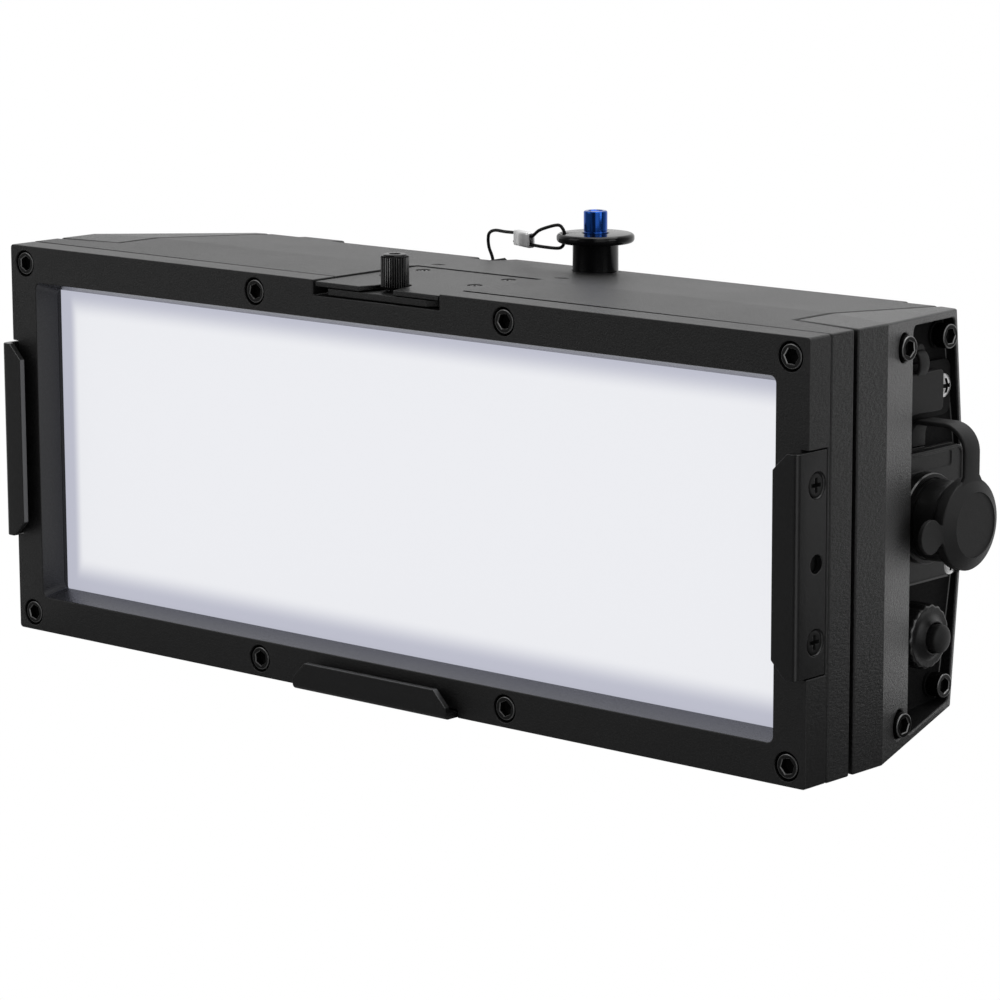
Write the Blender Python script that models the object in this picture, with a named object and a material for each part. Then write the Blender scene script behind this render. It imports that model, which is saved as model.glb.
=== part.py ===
"""LED soft light panel with accessory clips, a sliding latch, a quick-release pin and side connector bays.

Metres, +Z up. The panel shines towards -Y. Every piece is drawn from the middle of the front face
(X right, Y back, Z up) and hangs on one empty, which sets the world origin on the flat underside.
"""
import math
import bpy
import bmesh
from mathutils import Vector

# Body sizes
WIDTH = 0.305
HEIGHT = 0.1195
FRAME_DEPTH = 0.009
SEAM = 0.0003
EDGE = 0.0008
CORNER_RADIUS = 0.001
FRAME_SIDE_BAR = 0.0109
FRAME_TOP_BAR = 0.01095
WINDOW_RADIUS = 0.002
BASE_SPOT = 0.025
ROUND = 16
HALF_W = WIDTH / 2
HALF_H = HEIGHT / 2
WINDOW_HALF_W = HALF_W - FRAME_SIDE_BAR
WINDOW_HALF_H = HALF_H - FRAME_TOP_BAR

# Main housing: shoulder ring in front, sloping centre body behind
RING_FRONT = FRAME_DEPTH + SEAM
RING_BACK = 0.0192
RING_TAPER = 0.0043
RING_STEP = 0.0235
CENTRE_HALF = HALF_W - RING_STEP
CREASE_BACK = 0.040
CORNER_BACK = 0.0895
REAR_LIP = 0.0031
REAR_INSET = 0.012
REAR_DROP = 0.0034
APEX_REACH = 0.0094
HOUSING_WALL = 0.004
TOP_WALL = 0.00675
REAR_BACK = CORNER_BACK + REAR_LIP
REAR_HALF = CENTRE_HALF - REAR_INSET
REAR_Z = HALF_H - REAR_DROP
APEX_BACK = CORNER_BACK + APEX_REACH
REAR_APEX = REAR_BACK + APEX_REACH
CAVITY_HALF_HEIGHT = HALF_H - TOP_WALL
CAVITY_TOP = CAVITY_HALF_HEIGHT - SEAM
TOP_SLOPE = REAR_DROP / (CORNER_BACK - CREASE_BACK)

# Light engine
GASKET_THICK = 0.0013
DIFFUSER_THICK = 0.003
DIFFUSER_LAP = 0.0022
CHAMBER_WALL = 0.001
CHAMBER_LIP = 0.0006
CHAMBER_SIDE_GAP = 0.0055
CHAMBER_RISE = 0.0007
CHAMBER_WAIST = 0.026
BOARD_FRONT = 0.0384
BOARD_THICK = 0.0016
LED_ROWS = 5
LED_HEIGHT = 0.0008
LED_ROW_WIDTH = 0.003
SINK_BASE = 0.0055
FIN_PITCH = 0.008
FIN_ROOT = 0.0024
FIN_TIP = 0.0014
FIN_SETBACK = 0.0015
DIFFUSER_FRONT = RING_FRONT + GASKET_THICK + SEAM
DIFFUSER_BACK = DIFFUSER_FRONT + DIFFUSER_THICK
DIFFUSER_HALF_W = WINDOW_HALF_W + DIFFUSER_LAP
DIFFUSER_HALF_H = WINDOW_HALF_H + DIFFUSER_LAP
LEDGE_Y = DIFFUSER_BACK + SEAM
CHAMBER_MOUTH_HALF_WIDTH = WINDOW_HALF_W - CHAMBER_LIP
CHAMBER_HALF_WIDTH = CENTRE_HALF - CHAMBER_SIDE_GAP
CHAMBER_HALF_HEIGHT = WINDOW_HALF_H + CHAMBER_RISE
SINK_FRONT = BOARD_FRONT + BOARD_THICK + SEAM
FIN_BASE = SINK_FRONT + SINK_BASE

# Socket head screws: eight in front, four on each end cap
SCREW_HEAD_RADIUS = 0.0035
SCREW_HEAD_HEIGHT = 0.004
SCREW_SHANK_RADIUS = 0.0019
SCREW_SHANK_LENGTH = 0.007
SCREW_SOCKET = 0.0042
SCREW_SOCKET_DEPTH = 0.002
COUNTERBORE_RADIUS = 0.004
COUNTERBORE_DEPTH = 0.0043
SCREW_HOLE_RADIUS = 0.0022
SCREW_EDGE = 0.00625
SCREW_TOP_EDGE = 0.00545
SCREW_INNER_SHARE = 0.3271
SCREW_SIDE_X = HALF_W - SCREW_EDGE
SCREW_INNER_X = SCREW_SIDE_X * SCREW_INNER_SHARE
SCREW_ROW_Z = HALF_H - SCREW_TOP_EDGE

# Accessory clips: folded sheet, one on each side and one below
CLIP_SHEET = 0.002
CLIP_LENGTH = 0.0598
CLIP_REACH = 0.00475
CLIP_LIP = 0.0082
CLIP_BEND = 0.0016
CLIP_PLATE_BACK = 0.0079
CLIP_CHAMFER = 0.0047
CLIP_SCREW_Y = 0.0038
CLIP_SCREW_Z = 0.0208
CLIP_SCREW_HEAD = 0.0036
CLIP_HOLE_RADIUS = 0.0025

# Latch in the top edge: cover plate just below the top, sliding gate, knurled knob
LATCH_HALF = 0.0243
LATCH_LENGTH = 0.044
LATCH_DEPTH = 0.0045
COVER_DROP = 0.0003
COVER_THICK = 0.0015
COVER_SLOT_HALF = 0.0047
COVER_MOUTH_HALF = 0.0066
COVER_MOUTH_BACK = 0.006
GATE_THICK = 0.0020
GATE_FRONT = 0.0008
GATE_BACK = 0.027
GATE_HALF = 0.023
GATE_NOSE = 0.004
KNOB_Y = 0.0083
KNOB_RADIUS = 0.00403
KNOB_FLUTE = 0.00028
KNOB_FLUTES = 24
KNOB_SINK = 0.00125
KNOB_RISE = 0.00855
KNOB_STUD_RADIUS = 0.0015
KNOB_DIMPLE_RADIUS = 0.0017
KNOB_DIMPLE_DEPTH = 0.0012
TAPPED_X = 0.0239
TAPPED_Y = 0.0529
TAPPED_RADIUS = 0.002
TAPPED_DEPTH = 0.005
LATCH_FLOOR = HALF_H - LATCH_DEPTH
COVER_TOP = HALF_H - COVER_DROP
KNOB_FOOT = HALF_H - KNOB_SINK
KNOB_TOP = HALF_H + KNOB_RISE

# Rear: receiver block for a bracket tongue, control module
RECEIVER_HALF = 0.025
RECEIVER_HEIGHT = 0.0347
RECEIVER_PROUD = 0.0025
POCKET_HALF = 0.020
POCKET_HEIGHT = 0.024
POCKET_ROOF = 0.0037
POCKET_DEPTH = 0.030
RECEIVER_BOTTOM = CAVITY_TOP - RECEIVER_HEIGHT
RECEIVER_BACK = CORNER_BACK + RECEIVER_PROUD
POCKET_HIGH = CAVITY_TOP - POCKET_ROOF
POCKET_LOW = POCKET_HIGH - POCKET_HEIGHT
POCKET_FRONT = RECEIVER_BACK - POCKET_DEPTH
CONTROL_EDGE_SHARE = 0.7713
CONTROL_WIDTH_SHARE = 0.4806
CONTROL_SETBACK = 0.0025
CONTROL_DEPTH = 0.025
CONTROL_BAY_RIGHT = -0.0285
GROOVE_LEFT = -0.0378
GROOVE_RIGHT = -0.0325
GROOVE_DEPTH = 0.00095
GROOVE_LENGTH = 0.005
SCREEN_HALF_WIDTH = 0.021
SCREEN_HALF_HEIGHT = 0.010
SCREEN_BELOW = 0.0167
SCREEN_THICK = 0.0012
BUTTON_BELOW = 0.0185
BUTTON_COUNT = 4
BUTTON_PITCH = 0.0135
BUTTON_HALF_WIDTH = 0.0042
BUTTON_HALF_HEIGHT = 0.0026
BUTTON_PROUD = 0.0018
BUTTON_TRAVEL = 0.001
ENCODER_BELOW = 0.016
ENCODER_SPREAD = 0.0165
ENCODER_RADIUS = 0.007
ENCODER_HEIGHT = 0.0085
ENCODER_SHAFT_RADIUS = 0.003
ENCODER_SHAFT_LENGTH = 0.0045
ENCODER_LOBES = 12
CONTROL_FOOT = 0.0135
CONTROL_LEFT = -CENTRE_HALF * CONTROL_EDGE_SHARE
CONTROL_RIGHT = CONTROL_LEFT + CENTRE_HALF * CONTROL_WIDTH_SHARE
CONTROL_BACK = CORNER_BACK - CONTROL_SETBACK
CONTROL_FRONT = CONTROL_BACK - CONTROL_DEPTH
SCREEN_Z = CAVITY_TOP - SCREEN_BELOW
BUTTON_ROW_Z = SCREEN_Z - BUTTON_BELOW
ENCODER_Z = BUTTON_ROW_Z - ENCODER_BELOW
CONTROL_LOW = ENCODER_Z - CONTROL_FOOT

# Quick-release pin and its lanyard
PIN_X = 0.011
PIN_SETBACK = 0.0065
PIN_SHANK_RADIUS = 0.004
PIN_END_GAP = 0.0014
PIN_NECK_RADIUS = 0.00676
PIN_FLANGE_RADIUS = 0.01148
PIN_FLANGE_THICK = 0.0027
PIN_SEAT_DEPTH = 0.00335
PIN_FLANGE_RISE = 0.0056
PIN_BUTTON_RADIUS = 0.0035
PIN_BUTTON_FOOT = 0.0015
PIN_BUTTON_RISE = 0.01495
PIN_BUTTON_TRAVEL = 0.0025
PIN_EYE_REACH = 0.0091
PIN_EYE_RADIUS = 0.0013
PIN_EYE_ANGLE = 222.1
LANYARD_RADIUS = 0.0005
LANYARD_STEP = 0.0028
FERRULE_LENGTH = 0.0088
FERRULE_HALF_HEIGHT = 0.0023
FERRULE_HALF_THICK = 0.0013
FERRULE_CORNER = 0.00104
FERRULE_STRAND = 0.0013
STRAND_GAP = 0.0002
CORD_GAP = 0.0003
ANCHOR_RADIUS = 0.0032
ANCHOR_HEIGHT = 0.0034
ANCHOR_CHAMFER = 0.0004
PIN_Y = CORNER_BACK - PIN_SETBACK
PIN_SEAT = HALF_H - PIN_SEAT_DEPTH
PIN_FLANGE_Z = HALF_H + PIN_FLANGE_RISE
PIN_BUTTON_TOP = HALF_H + PIN_BUTTON_RISE
PIN_SHANK_LENGTH = PIN_SEAT - RECEIVER_BOTTOM - PIN_END_GAP

# End caps with their connector bays
CAP_GAP = 0.0013
CAP_GROOVE = 0.0016
HIP_LEAD = 0.006
SIDE_TAPER = 0.0169
BAY_FLOOR_THICK = 0.0017
BAY_LENGTH = 0.0355
BAY_WALL = 0.0023
BAY_REAR_WALL = 0.00196
BAY_RADIUS = 0.002
BAY_AXIS_SETBACK = 0.0155
SEAL_BAND = 0.0045
SIDE_SCREW_FRONT_LEAD = 0.0073
SIDE_SCREW_FRONT_DROP = 0.00835
SIDE_SCREW_FRONT_SINK = 0.0063
SIDE_SCREW_REAR_SETBACK = 0.005
SIDE_SCREW_REAR_SHARE = 0.8234
SIDE_BOSS_RADIUS = 0.0038
HIP_BACK = CREASE_BACK - HIP_LEAD
SIDE_DROP = SIDE_TAPER / (CORNER_BACK - HIP_BACK)
CAP_INNER = CENTRE_HALF + CAP_GAP
BAY_FLOOR = CAP_INNER + BAY_FLOOR_THICK
BAY_FRONT = CORNER_BACK - BAY_LENGTH
BAY_AXIS_Y = CORNER_BACK - BAY_AXIS_SETBACK
SIDE_SCREW_FRONT_Y = BAY_FRONT - SIDE_SCREW_FRONT_LEAD
SIDE_SCREW_FRONT_Z = HALF_H - SIDE_SCREW_FRONT_DROP
SIDE_SCREW_FRONT_SEAT = HALF_W - SIDE_SCREW_FRONT_SINK
SIDE_SCREW_REAR_Y = CORNER_BACK - SIDE_SCREW_REAR_SETBACK
SIDE_SCREW_REAR_Z = HALF_H * SIDE_SCREW_REAR_SHARE
SIDE_SCREW_REAR_SEAT = BAY_FLOOR + EDGE
PART_BACK = BAY_FLOOR + SEAM

# Power inlet with its rubber cap, strap and gasket
INLET_HALF_WIDTH = 0.0175
INLET_HEIGHT_SHARE = 0.313
INLET_CORNER = 0.003
INLET_GASKET = 0.0016
INLET_FLANGE = 0.0020
INLET_BARREL_RADIUS = 0.0115
INLET_BARREL_REACH = 0.0155
INLET_BORE_RADIUS = 0.0096
INLET_BORE_DEPTH = 0.0103
POWER_CAP_RADIUS = 0.01245
POWER_CAP_THICK = 0.0051
POWER_CAP_FACE = 0.009
POWER_CAP_CHAMFER = 0.0013
POWER_PLUG_RADIUS = 0.009
POWER_PLUG_DEPTH = 0.0045
CAP_EAR_RADIUS = 0.0048
CAP_EAR_THICK = 0.0024
CAP_EAR_REACH = 0.0048
CAP_EAR_DROP = 0.001
CAP_EAR_NECK = 0.0027
STRAP_WIDTH = 0.007
STRAP_THICK = 0.0022
STRAP_ROOT = 0.004
STRAP_NECK = 0.0018
STRAP_CLEAR = 0.0077
STRAP_BEND = 0.0072
STRAP_HEEL = 0.003
STRAP_HEEL_RISE = 0.0045
INLET_HALF_HEIGHT = HALF_H * INLET_HEIGHT_SHARE
STRAP_TOP = INLET_HALF_HEIGHT + STRAP_CLEAR
INLET_BARREL_END = PART_BACK + INLET_BARREL_REACH
INLET_BORE_FLOOR = INLET_BARREL_END - INLET_BORE_DEPTH

# Data port above, sealed reset button below
DATA_GAP = 0.0016
DATA_HINGE_RISE = 0.0114
DATA_PLATE_THICK = 0.0016
DATA_PLATE_HALF_WIDTH = 0.0152
DATA_PLATE_SHARE = 0.1305
DATA_PLATE_CORNER = 0.003
DATA_COVER_HALF_WIDTH = 0.0080
DATA_COVER_SHARE = 0.0954
DATA_COVER_THICK = 0.0026
DATA_COVER_CORNER = 0.0015
DATA_CAVITY_INSET = 0.0014
DATA_TONGUE_THICK = 0.0018
DATA_TONGUE_HALF_WIDTH = 0.002
RESET_ABOVE = 0.02655
RESET_RING_RADIUS = 0.0092
RESET_RING_SHOULDER = 0.0061
RESET_RING_HEIGHT = 0.0068
RESET_RING_CHAMFER = 0.0012
RESET_LOBES = 9
RESET_LOBE_DEPTH = 0.0006
RESET_DOME_RADIUS = 0.0040
RESET_DOME_SIDE = 0.0104
RESET_DOME_RISE = 0.0027
RESET_DOME_STEPS = (20, 40, 60, 78)
RESET_TRAVEL = 0.0012
DATA_PLATE_HALF_HEIGHT = HALF_H * DATA_PLATE_SHARE
DATA_COVER_HALF_HEIGHT = HALF_H * DATA_COVER_SHARE
DATA_Z = STRAP_TOP + STRAP_THICK / 2 + DATA_GAP + DATA_COVER_HALF_HEIGHT
DATA_HINGE_Z = DATA_Z + DATA_HINGE_RISE
RESET_Z = RESET_ABOVE - HALF_H

# Data sockets in the left bay
SOCKET_Z = 0.0215
SOCKET_HALF_WIDTH = 0.013
SOCKET_HALF_HEIGHT = 0.0155
SOCKET_CORNER = 0.0025
SOCKET_FLANGE = 0.002
SOCKET_BARREL_RADIUS = 0.0118
SOCKET_BARREL_REACH = 0.0082
SOCKET_BORE_RADIUS = 0.0095
SOCKET_CAP_THICK = 0.003
SOCKET_STEM_HALF_THICK = 0.001
SOCKET_STEM_HALF_WIDTH = 0.003
SOCKET_HINGE_RISE = 0.0022
SOCKET_BARREL_END = PART_BACK + SOCKET_BARREL_REACH


def remove_everything():
    for item in list(bpy.data.objects):
        bpy.data.objects.remove(item, do_unlink=True)


def make_material(name, colour, roughness, metallic=0.0):
    material = bpy.data.materials.new(name)
    material.use_nodes = True
    shader = material.node_tree.nodes["Principled BSDF"]
    shader.inputs["Base Color"].default_value = (*colour, 1.0)
    shader.inputs["Roughness"].default_value = roughness
    shader.inputs["Metallic"].default_value = metallic
    return material


FINISHES = {
    "black_powder": ((0.018, 0.018, 0.019), 0.55, 0.0),
    "black_anodised": ((0.02, 0.02, 0.021), 0.4, 0.6),
    "black_rubber": ((0.022, 0.022, 0.023), 0.7, 0.0),
    "black_plastic": ((0.02, 0.02, 0.021), 0.45, 0.0),
    "black_screw": ((0.015, 0.015, 0.016), 0.35, 0.7),
    "blue_anodised": ((0.02, 0.09, 0.5), 0.25, 0.9),
    "bright_steel": ((0.72, 0.72, 0.72), 0.3, 1.0),
    "soft_white": ((0.84, 0.84, 0.88), 0.6, 0.0),
    "board_white": ((0.8, 0.8, 0.78), 0.5, 0.0),
    "dark_glass": ((0.01, 0.012, 0.015), 0.1, 0.0),
}


def add_object(name, mesh, finish, parent, location=(0, 0, 0), rotation=(0, 0, 0)):
    """Puts a mesh into the scene as one named piece with its own finish."""
    item = bpy.data.objects.new(name, mesh)
    bpy.context.scene.collection.objects.link(item)
    item.parent = parent
    item.location = location
    item.rotation_euler = rotation
    if finish is None:
        item.hide_render = True
        item.display_type = "WIRE"
    else:
        colour, roughness, metallic = FINISHES[finish]
        mesh.materials.append(make_material(name + "_" + finish, colour, roughness, metallic))
    return item


def place(axis, u, v, t):
    """Point of a flat outline (u, v) that stands at t along an axis."""
    if axis == "x":
        return (t, u, v)
    if axis == "y":
        return (u, t, v)
    return (u, v, t)


def loft_mesh(name, sections, axis, cyclic=False):
    """Closed solid through outlines of equal counts; a cyclic one closes on itself, like a ring."""
    mesh = bpy.data.meshes.new(name)
    build = bmesh.new()
    loops = [[build.verts.new(place(axis, u, v, t)) for u, v in outline] for outline, t in sections]
    pairs = list(zip(loops, loops[1:]))
    if cyclic:
        pairs.append((loops[-1], loops[0]))
    for low, high in pairs:
        count = len(low)
        for i in range(count):
            build.faces.new((low[i], low[(i + 1) % count], high[(i + 1) % count], high[i]))
    if not cyclic:
        build.faces.new(loops[0])
        build.faces.new(loops[-1])
    bmesh.ops.recalc_face_normals(build, faces=build.faces)
    build.to_mesh(mesh)
    build.free()
    return mesh


def smooth(item, angle=35):
    item.data.shade_smooth()
    item.data.set_sharp_from_angle(angle=math.radians(angle))
    return item


def loft(name, sections, axis, finish, parent, cyclic=False, location=(0, 0, 0), rotation=(0, 0, 0)):
    mesh = loft_mesh(name, sections, axis, cyclic)
    return smooth(add_object(name, mesh, finish, parent, location, rotation))


def rounded(half_u, half_v, radius, steps=2, centre=(0, 0)):
    """Rectangle with round corners."""
    points = []
    for sign_u, sign_v, start in ((1, 1, 0), (-1, 1, 90), (-1, -1, 180), (1, -1, 270)):
        for step in range(steps + 1):
            turn = math.radians(start + 90 * step / steps)
            points.append((centre[0] + sign_u * (half_u - radius) + radius * math.cos(turn),
                           centre[1] + sign_v * (half_v - radius) + radius * math.sin(turn)))
    return points


def circle(radius, count=ROUND, centre=(0, 0)):
    return [(centre[0] + radius * math.cos(2 * math.pi * i / count),
             centre[1] + radius * math.sin(2 * math.pi * i / count)) for i in range(count)]


def hexagon(across_flats, count=12):
    """Hexagon sampled at the same angles as a circle of that count."""
    points = []
    for i in range(count):
        turn = 2 * math.pi * i / count
        wedge = (turn + math.pi / 6) % (math.pi / 3) - math.pi / 6
        reach = across_flats / 2 / math.cos(wedge)
        points.append((reach * math.cos(turn), reach * math.sin(turn)))
    return points


def lobed(radius, depth, lobes, points_each=4):
    count = lobes * points_each
    outline = []
    for i in range(count):
        turn = 2 * math.pi * i / count
        reach = radius - depth * (1 - math.cos(lobes * turn)) / 2
        outline.append((reach * math.cos(turn), reach * math.sin(turn)))
    return outline


def round_corners(points, radius, steps=3):
    """Polygon whose corners are drawn as arcs of one radius."""
    result = []
    for i, point in enumerate(points):
        here = Vector(point)
        before = (Vector(points[i - 1]) - here).normalized()
        after = (Vector(points[(i + 1) % len(points)]) - here).normalized()
        half = before.angle(after) / 2
        if half > math.radians(80):
            result.append(tuple(here))
            continue
        reach = radius / math.tan(half)
        start, end = here + before * reach, here + after * reach
        middle = here + (before + after).normalized() * (radius / math.sin(half))
        for step in range(steps + 1):
            arm = (start - middle).lerp(end - middle, step / steps).normalized()
            result.append(tuple(middle + arm * radius))
    return result


def box_outline(low_u, high_u, low_v, high_v):
    return [(low_u, low_v), (high_u, low_v), (high_u, high_v), (low_u, high_v)]


def block(name, low, high, finish, parent, edge=0.0):
    """Box between two corners, with its edges along Y bevelled where asked."""
    half = [(high[i] - low[i]) / 2 for i in range(3)]
    centre = [(high[i] + low[i]) / 2 for i in range(3)]
    outline = rounded(half[0], half[2], edge, 2, (centre[0], centre[2])) if edge else \
        box_outline(low[0], high[0], low[2], high[2])
    return loft(name, [(outline, low[1]), (outline, high[1])], "y", finish, parent)


def turned(name, profile, axis, finish, parent, location=(0, 0, 0), count=ROUND):
    """Solid of revolution from (radius, place) pairs, listed from one end to the other."""
    sections = [(circle(radius, count), t) for radius, t in profile]
    return loft(name, sections, axis, finish, parent, location=location)


def combine(item, other, operation):
    tool = item.modifiers.new(operation.lower() + "_" + other.name, "BOOLEAN")
    tool.operation = operation
    tool.object = other
    tool.solver = "EXACT"
    return item


def cut(item, cutter):
    return combine(item, cutter, "DIFFERENCE")


def drill(item, name, profile, axis, location, parent, count=ROUND):
    return cut(item, turned(name, profile, axis, None, parent, location, count))


def top_at(depth):
    """Height of the outer top surface at a depth behind the front face."""
    return HALF_H - max(0.0, depth - CREASE_BACK) * TOP_SLOPE


def body_side(front, rear, apex, inset=0.0):
    """Side outline (Y, Z) of the body: flat top, sloping facet, shallow wedge at the rear."""
    top = HALF_H - inset
    rear_z = HALF_H - (rear - CREASE_BACK) * TOP_SLOPE - inset
    return [(front + inset, -top), (CREASE_BACK, -top), (rear - inset, -rear_z), (apex - inset, 0),
            (rear - inset, rear_z), (CREASE_BACK, top), (front + inset, top)]


def screw(name, parent, location, rotation):
    """Socket head cap screw along -Z of its own frame, its head's top at the origin."""
    sections = [
        (circle(SCREW_SHANK_RADIUS, 12), -SCREW_HEAD_HEIGHT - SCREW_SHANK_LENGTH),
        (circle(SCREW_SHANK_RADIUS, 12), -SCREW_HEAD_HEIGHT),
        (circle(SCREW_HEAD_RADIUS, 12), -SCREW_HEAD_HEIGHT),
        (circle(SCREW_HEAD_RADIUS, 12), 0),
        (hexagon(SCREW_SOCKET), 0),
        (hexagon(SCREW_SOCKET), -SCREW_SOCKET_DEPTH),
    ]
    return loft(name, sections, "z", "black_screw", parent, location=location, rotation=rotation)


FRONT_SCREWS = [(x, row * SCREW_ROW_Z) for row in (1, -1)
                for x in (-SCREW_SIDE_X, -SCREW_INNER_X, SCREW_INNER_X, SCREW_SIDE_X)]
CLIP_PLACES = {"right": ((HALF_W, 0, 0), (0, 0, 0)),
               "left": ((-HALF_W, 0, 0), (0, math.pi, 0)),
               "bottom": ((0, 0, -HALF_H), (0, math.pi / 2, 0))}


def build_front_frame(root):
    def rim(inset):
        return rounded(HALF_W - inset, HALF_H - inset, CORNER_RADIUS)

    def window(inset):
        return rounded(WINDOW_HALF_W + inset, WINDOW_HALF_H + inset, WINDOW_RADIUS)

    sections = [(window(0), FRAME_DEPTH), (window(0), EDGE), (window(EDGE), 0), (rim(EDGE), 0),
                (rim(0), EDGE), (rim(0), FRAME_DEPTH)]
    frame = loft("front_frame", sections, "y", "black_powder", root, cyclic=True)
    through = FRAME_DEPTH + EDGE
    for number, (x, z) in enumerate(FRONT_SCREWS):
        drill(frame, f"counterbore_{number}",
              [(COUNTERBORE_RADIUS, -EDGE), (COUNTERBORE_RADIUS, COUNTERBORE_DEPTH),
               (SCREW_HOLE_RADIUS, COUNTERBORE_DEPTH), (SCREW_HOLE_RADIUS, through)], "y", (x, 0, z), root)
    cut(frame, block("latch_notch", (-LATCH_HALF, -EDGE, LATCH_FLOOR),
                     (LATCH_HALF, through, HALF_H + EDGE), None, root))
    depth = CLIP_SHEET + SEAM
    for side, (location, rotation) in CLIP_PLACES.items():
        half = CLIP_LENGTH / 2 + SEAM
        outline = box_outline(-depth, EDGE, -EDGE, CLIP_PLATE_BACK + SEAM)
        cut(frame, loft(f"clip_pocket_{side}", [(outline, -half), (outline, half)], "z", None, root,
                        location=location, rotation=rotation))


def build_clip(side, root):
    """Folded sheet with a lip in front of the frame; +X of its own frame points out of the panel."""
    location, rotation = CLIP_PLACES[side]
    half = CLIP_LENGTH / 2
    bend = [(-CLIP_BEND * (1 - math.sin(turn)), -CLIP_REACH + CLIP_BEND * (1 - math.cos(turn)))
            for turn in (math.radians(22.5 * step) for step in range(5))]
    section = [(-CLIP_LIP, -CLIP_REACH)] + bend + [
        (0, CLIP_PLATE_BACK), (-CLIP_SHEET, CLIP_PLATE_BACK),
        (-CLIP_SHEET, -CLIP_REACH + CLIP_SHEET), (-CLIP_LIP, -CLIP_REACH + CLIP_SHEET)]
    clip = loft(f"clip_{side}", [(section, -half), (section, half)], "z", "black_powder", root,
                location=location, rotation=rotation)
    for end in (1, -1):
        corner = [(-CLIP_LIP - EDGE, end * (half - CLIP_CHAMFER - EDGE)),
                  (-CLIP_LIP + CLIP_CHAMFER + EDGE, end * (half + EDGE)),
                  (-CLIP_LIP - EDGE, end * (half + EDGE))]
        lip_back = -CLIP_REACH + CLIP_SHEET + EDGE
        cut(clip, loft(f"clip_corner_{side}_{end}", [(corner, -CLIP_REACH - EDGE), (corner, lip_back)],
                       "y", None, clip))
        drill(clip, f"clip_sink_{side}_{end}",
              [(SCREW_SHANK_RADIUS, -CLIP_SHEET - EDGE), (SCREW_SHANK_RADIUS, EDGE / 2 - CLIP_SHEET),
               (CLIP_SCREW_HEAD, EDGE / 8), (CLIP_SCREW_HEAD, EDGE)],
              "x", (0, CLIP_SCREW_Y, end * CLIP_SCREW_Z), clip)
    drill(clip, f"clip_hole_{side}", [(CLIP_HOLE_RADIUS, -CLIP_SHEET - EDGE), (CLIP_HOLE_RADIUS, EDGE)],
          "x", (0, CLIP_SCREW_Y, 0), clip)


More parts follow.
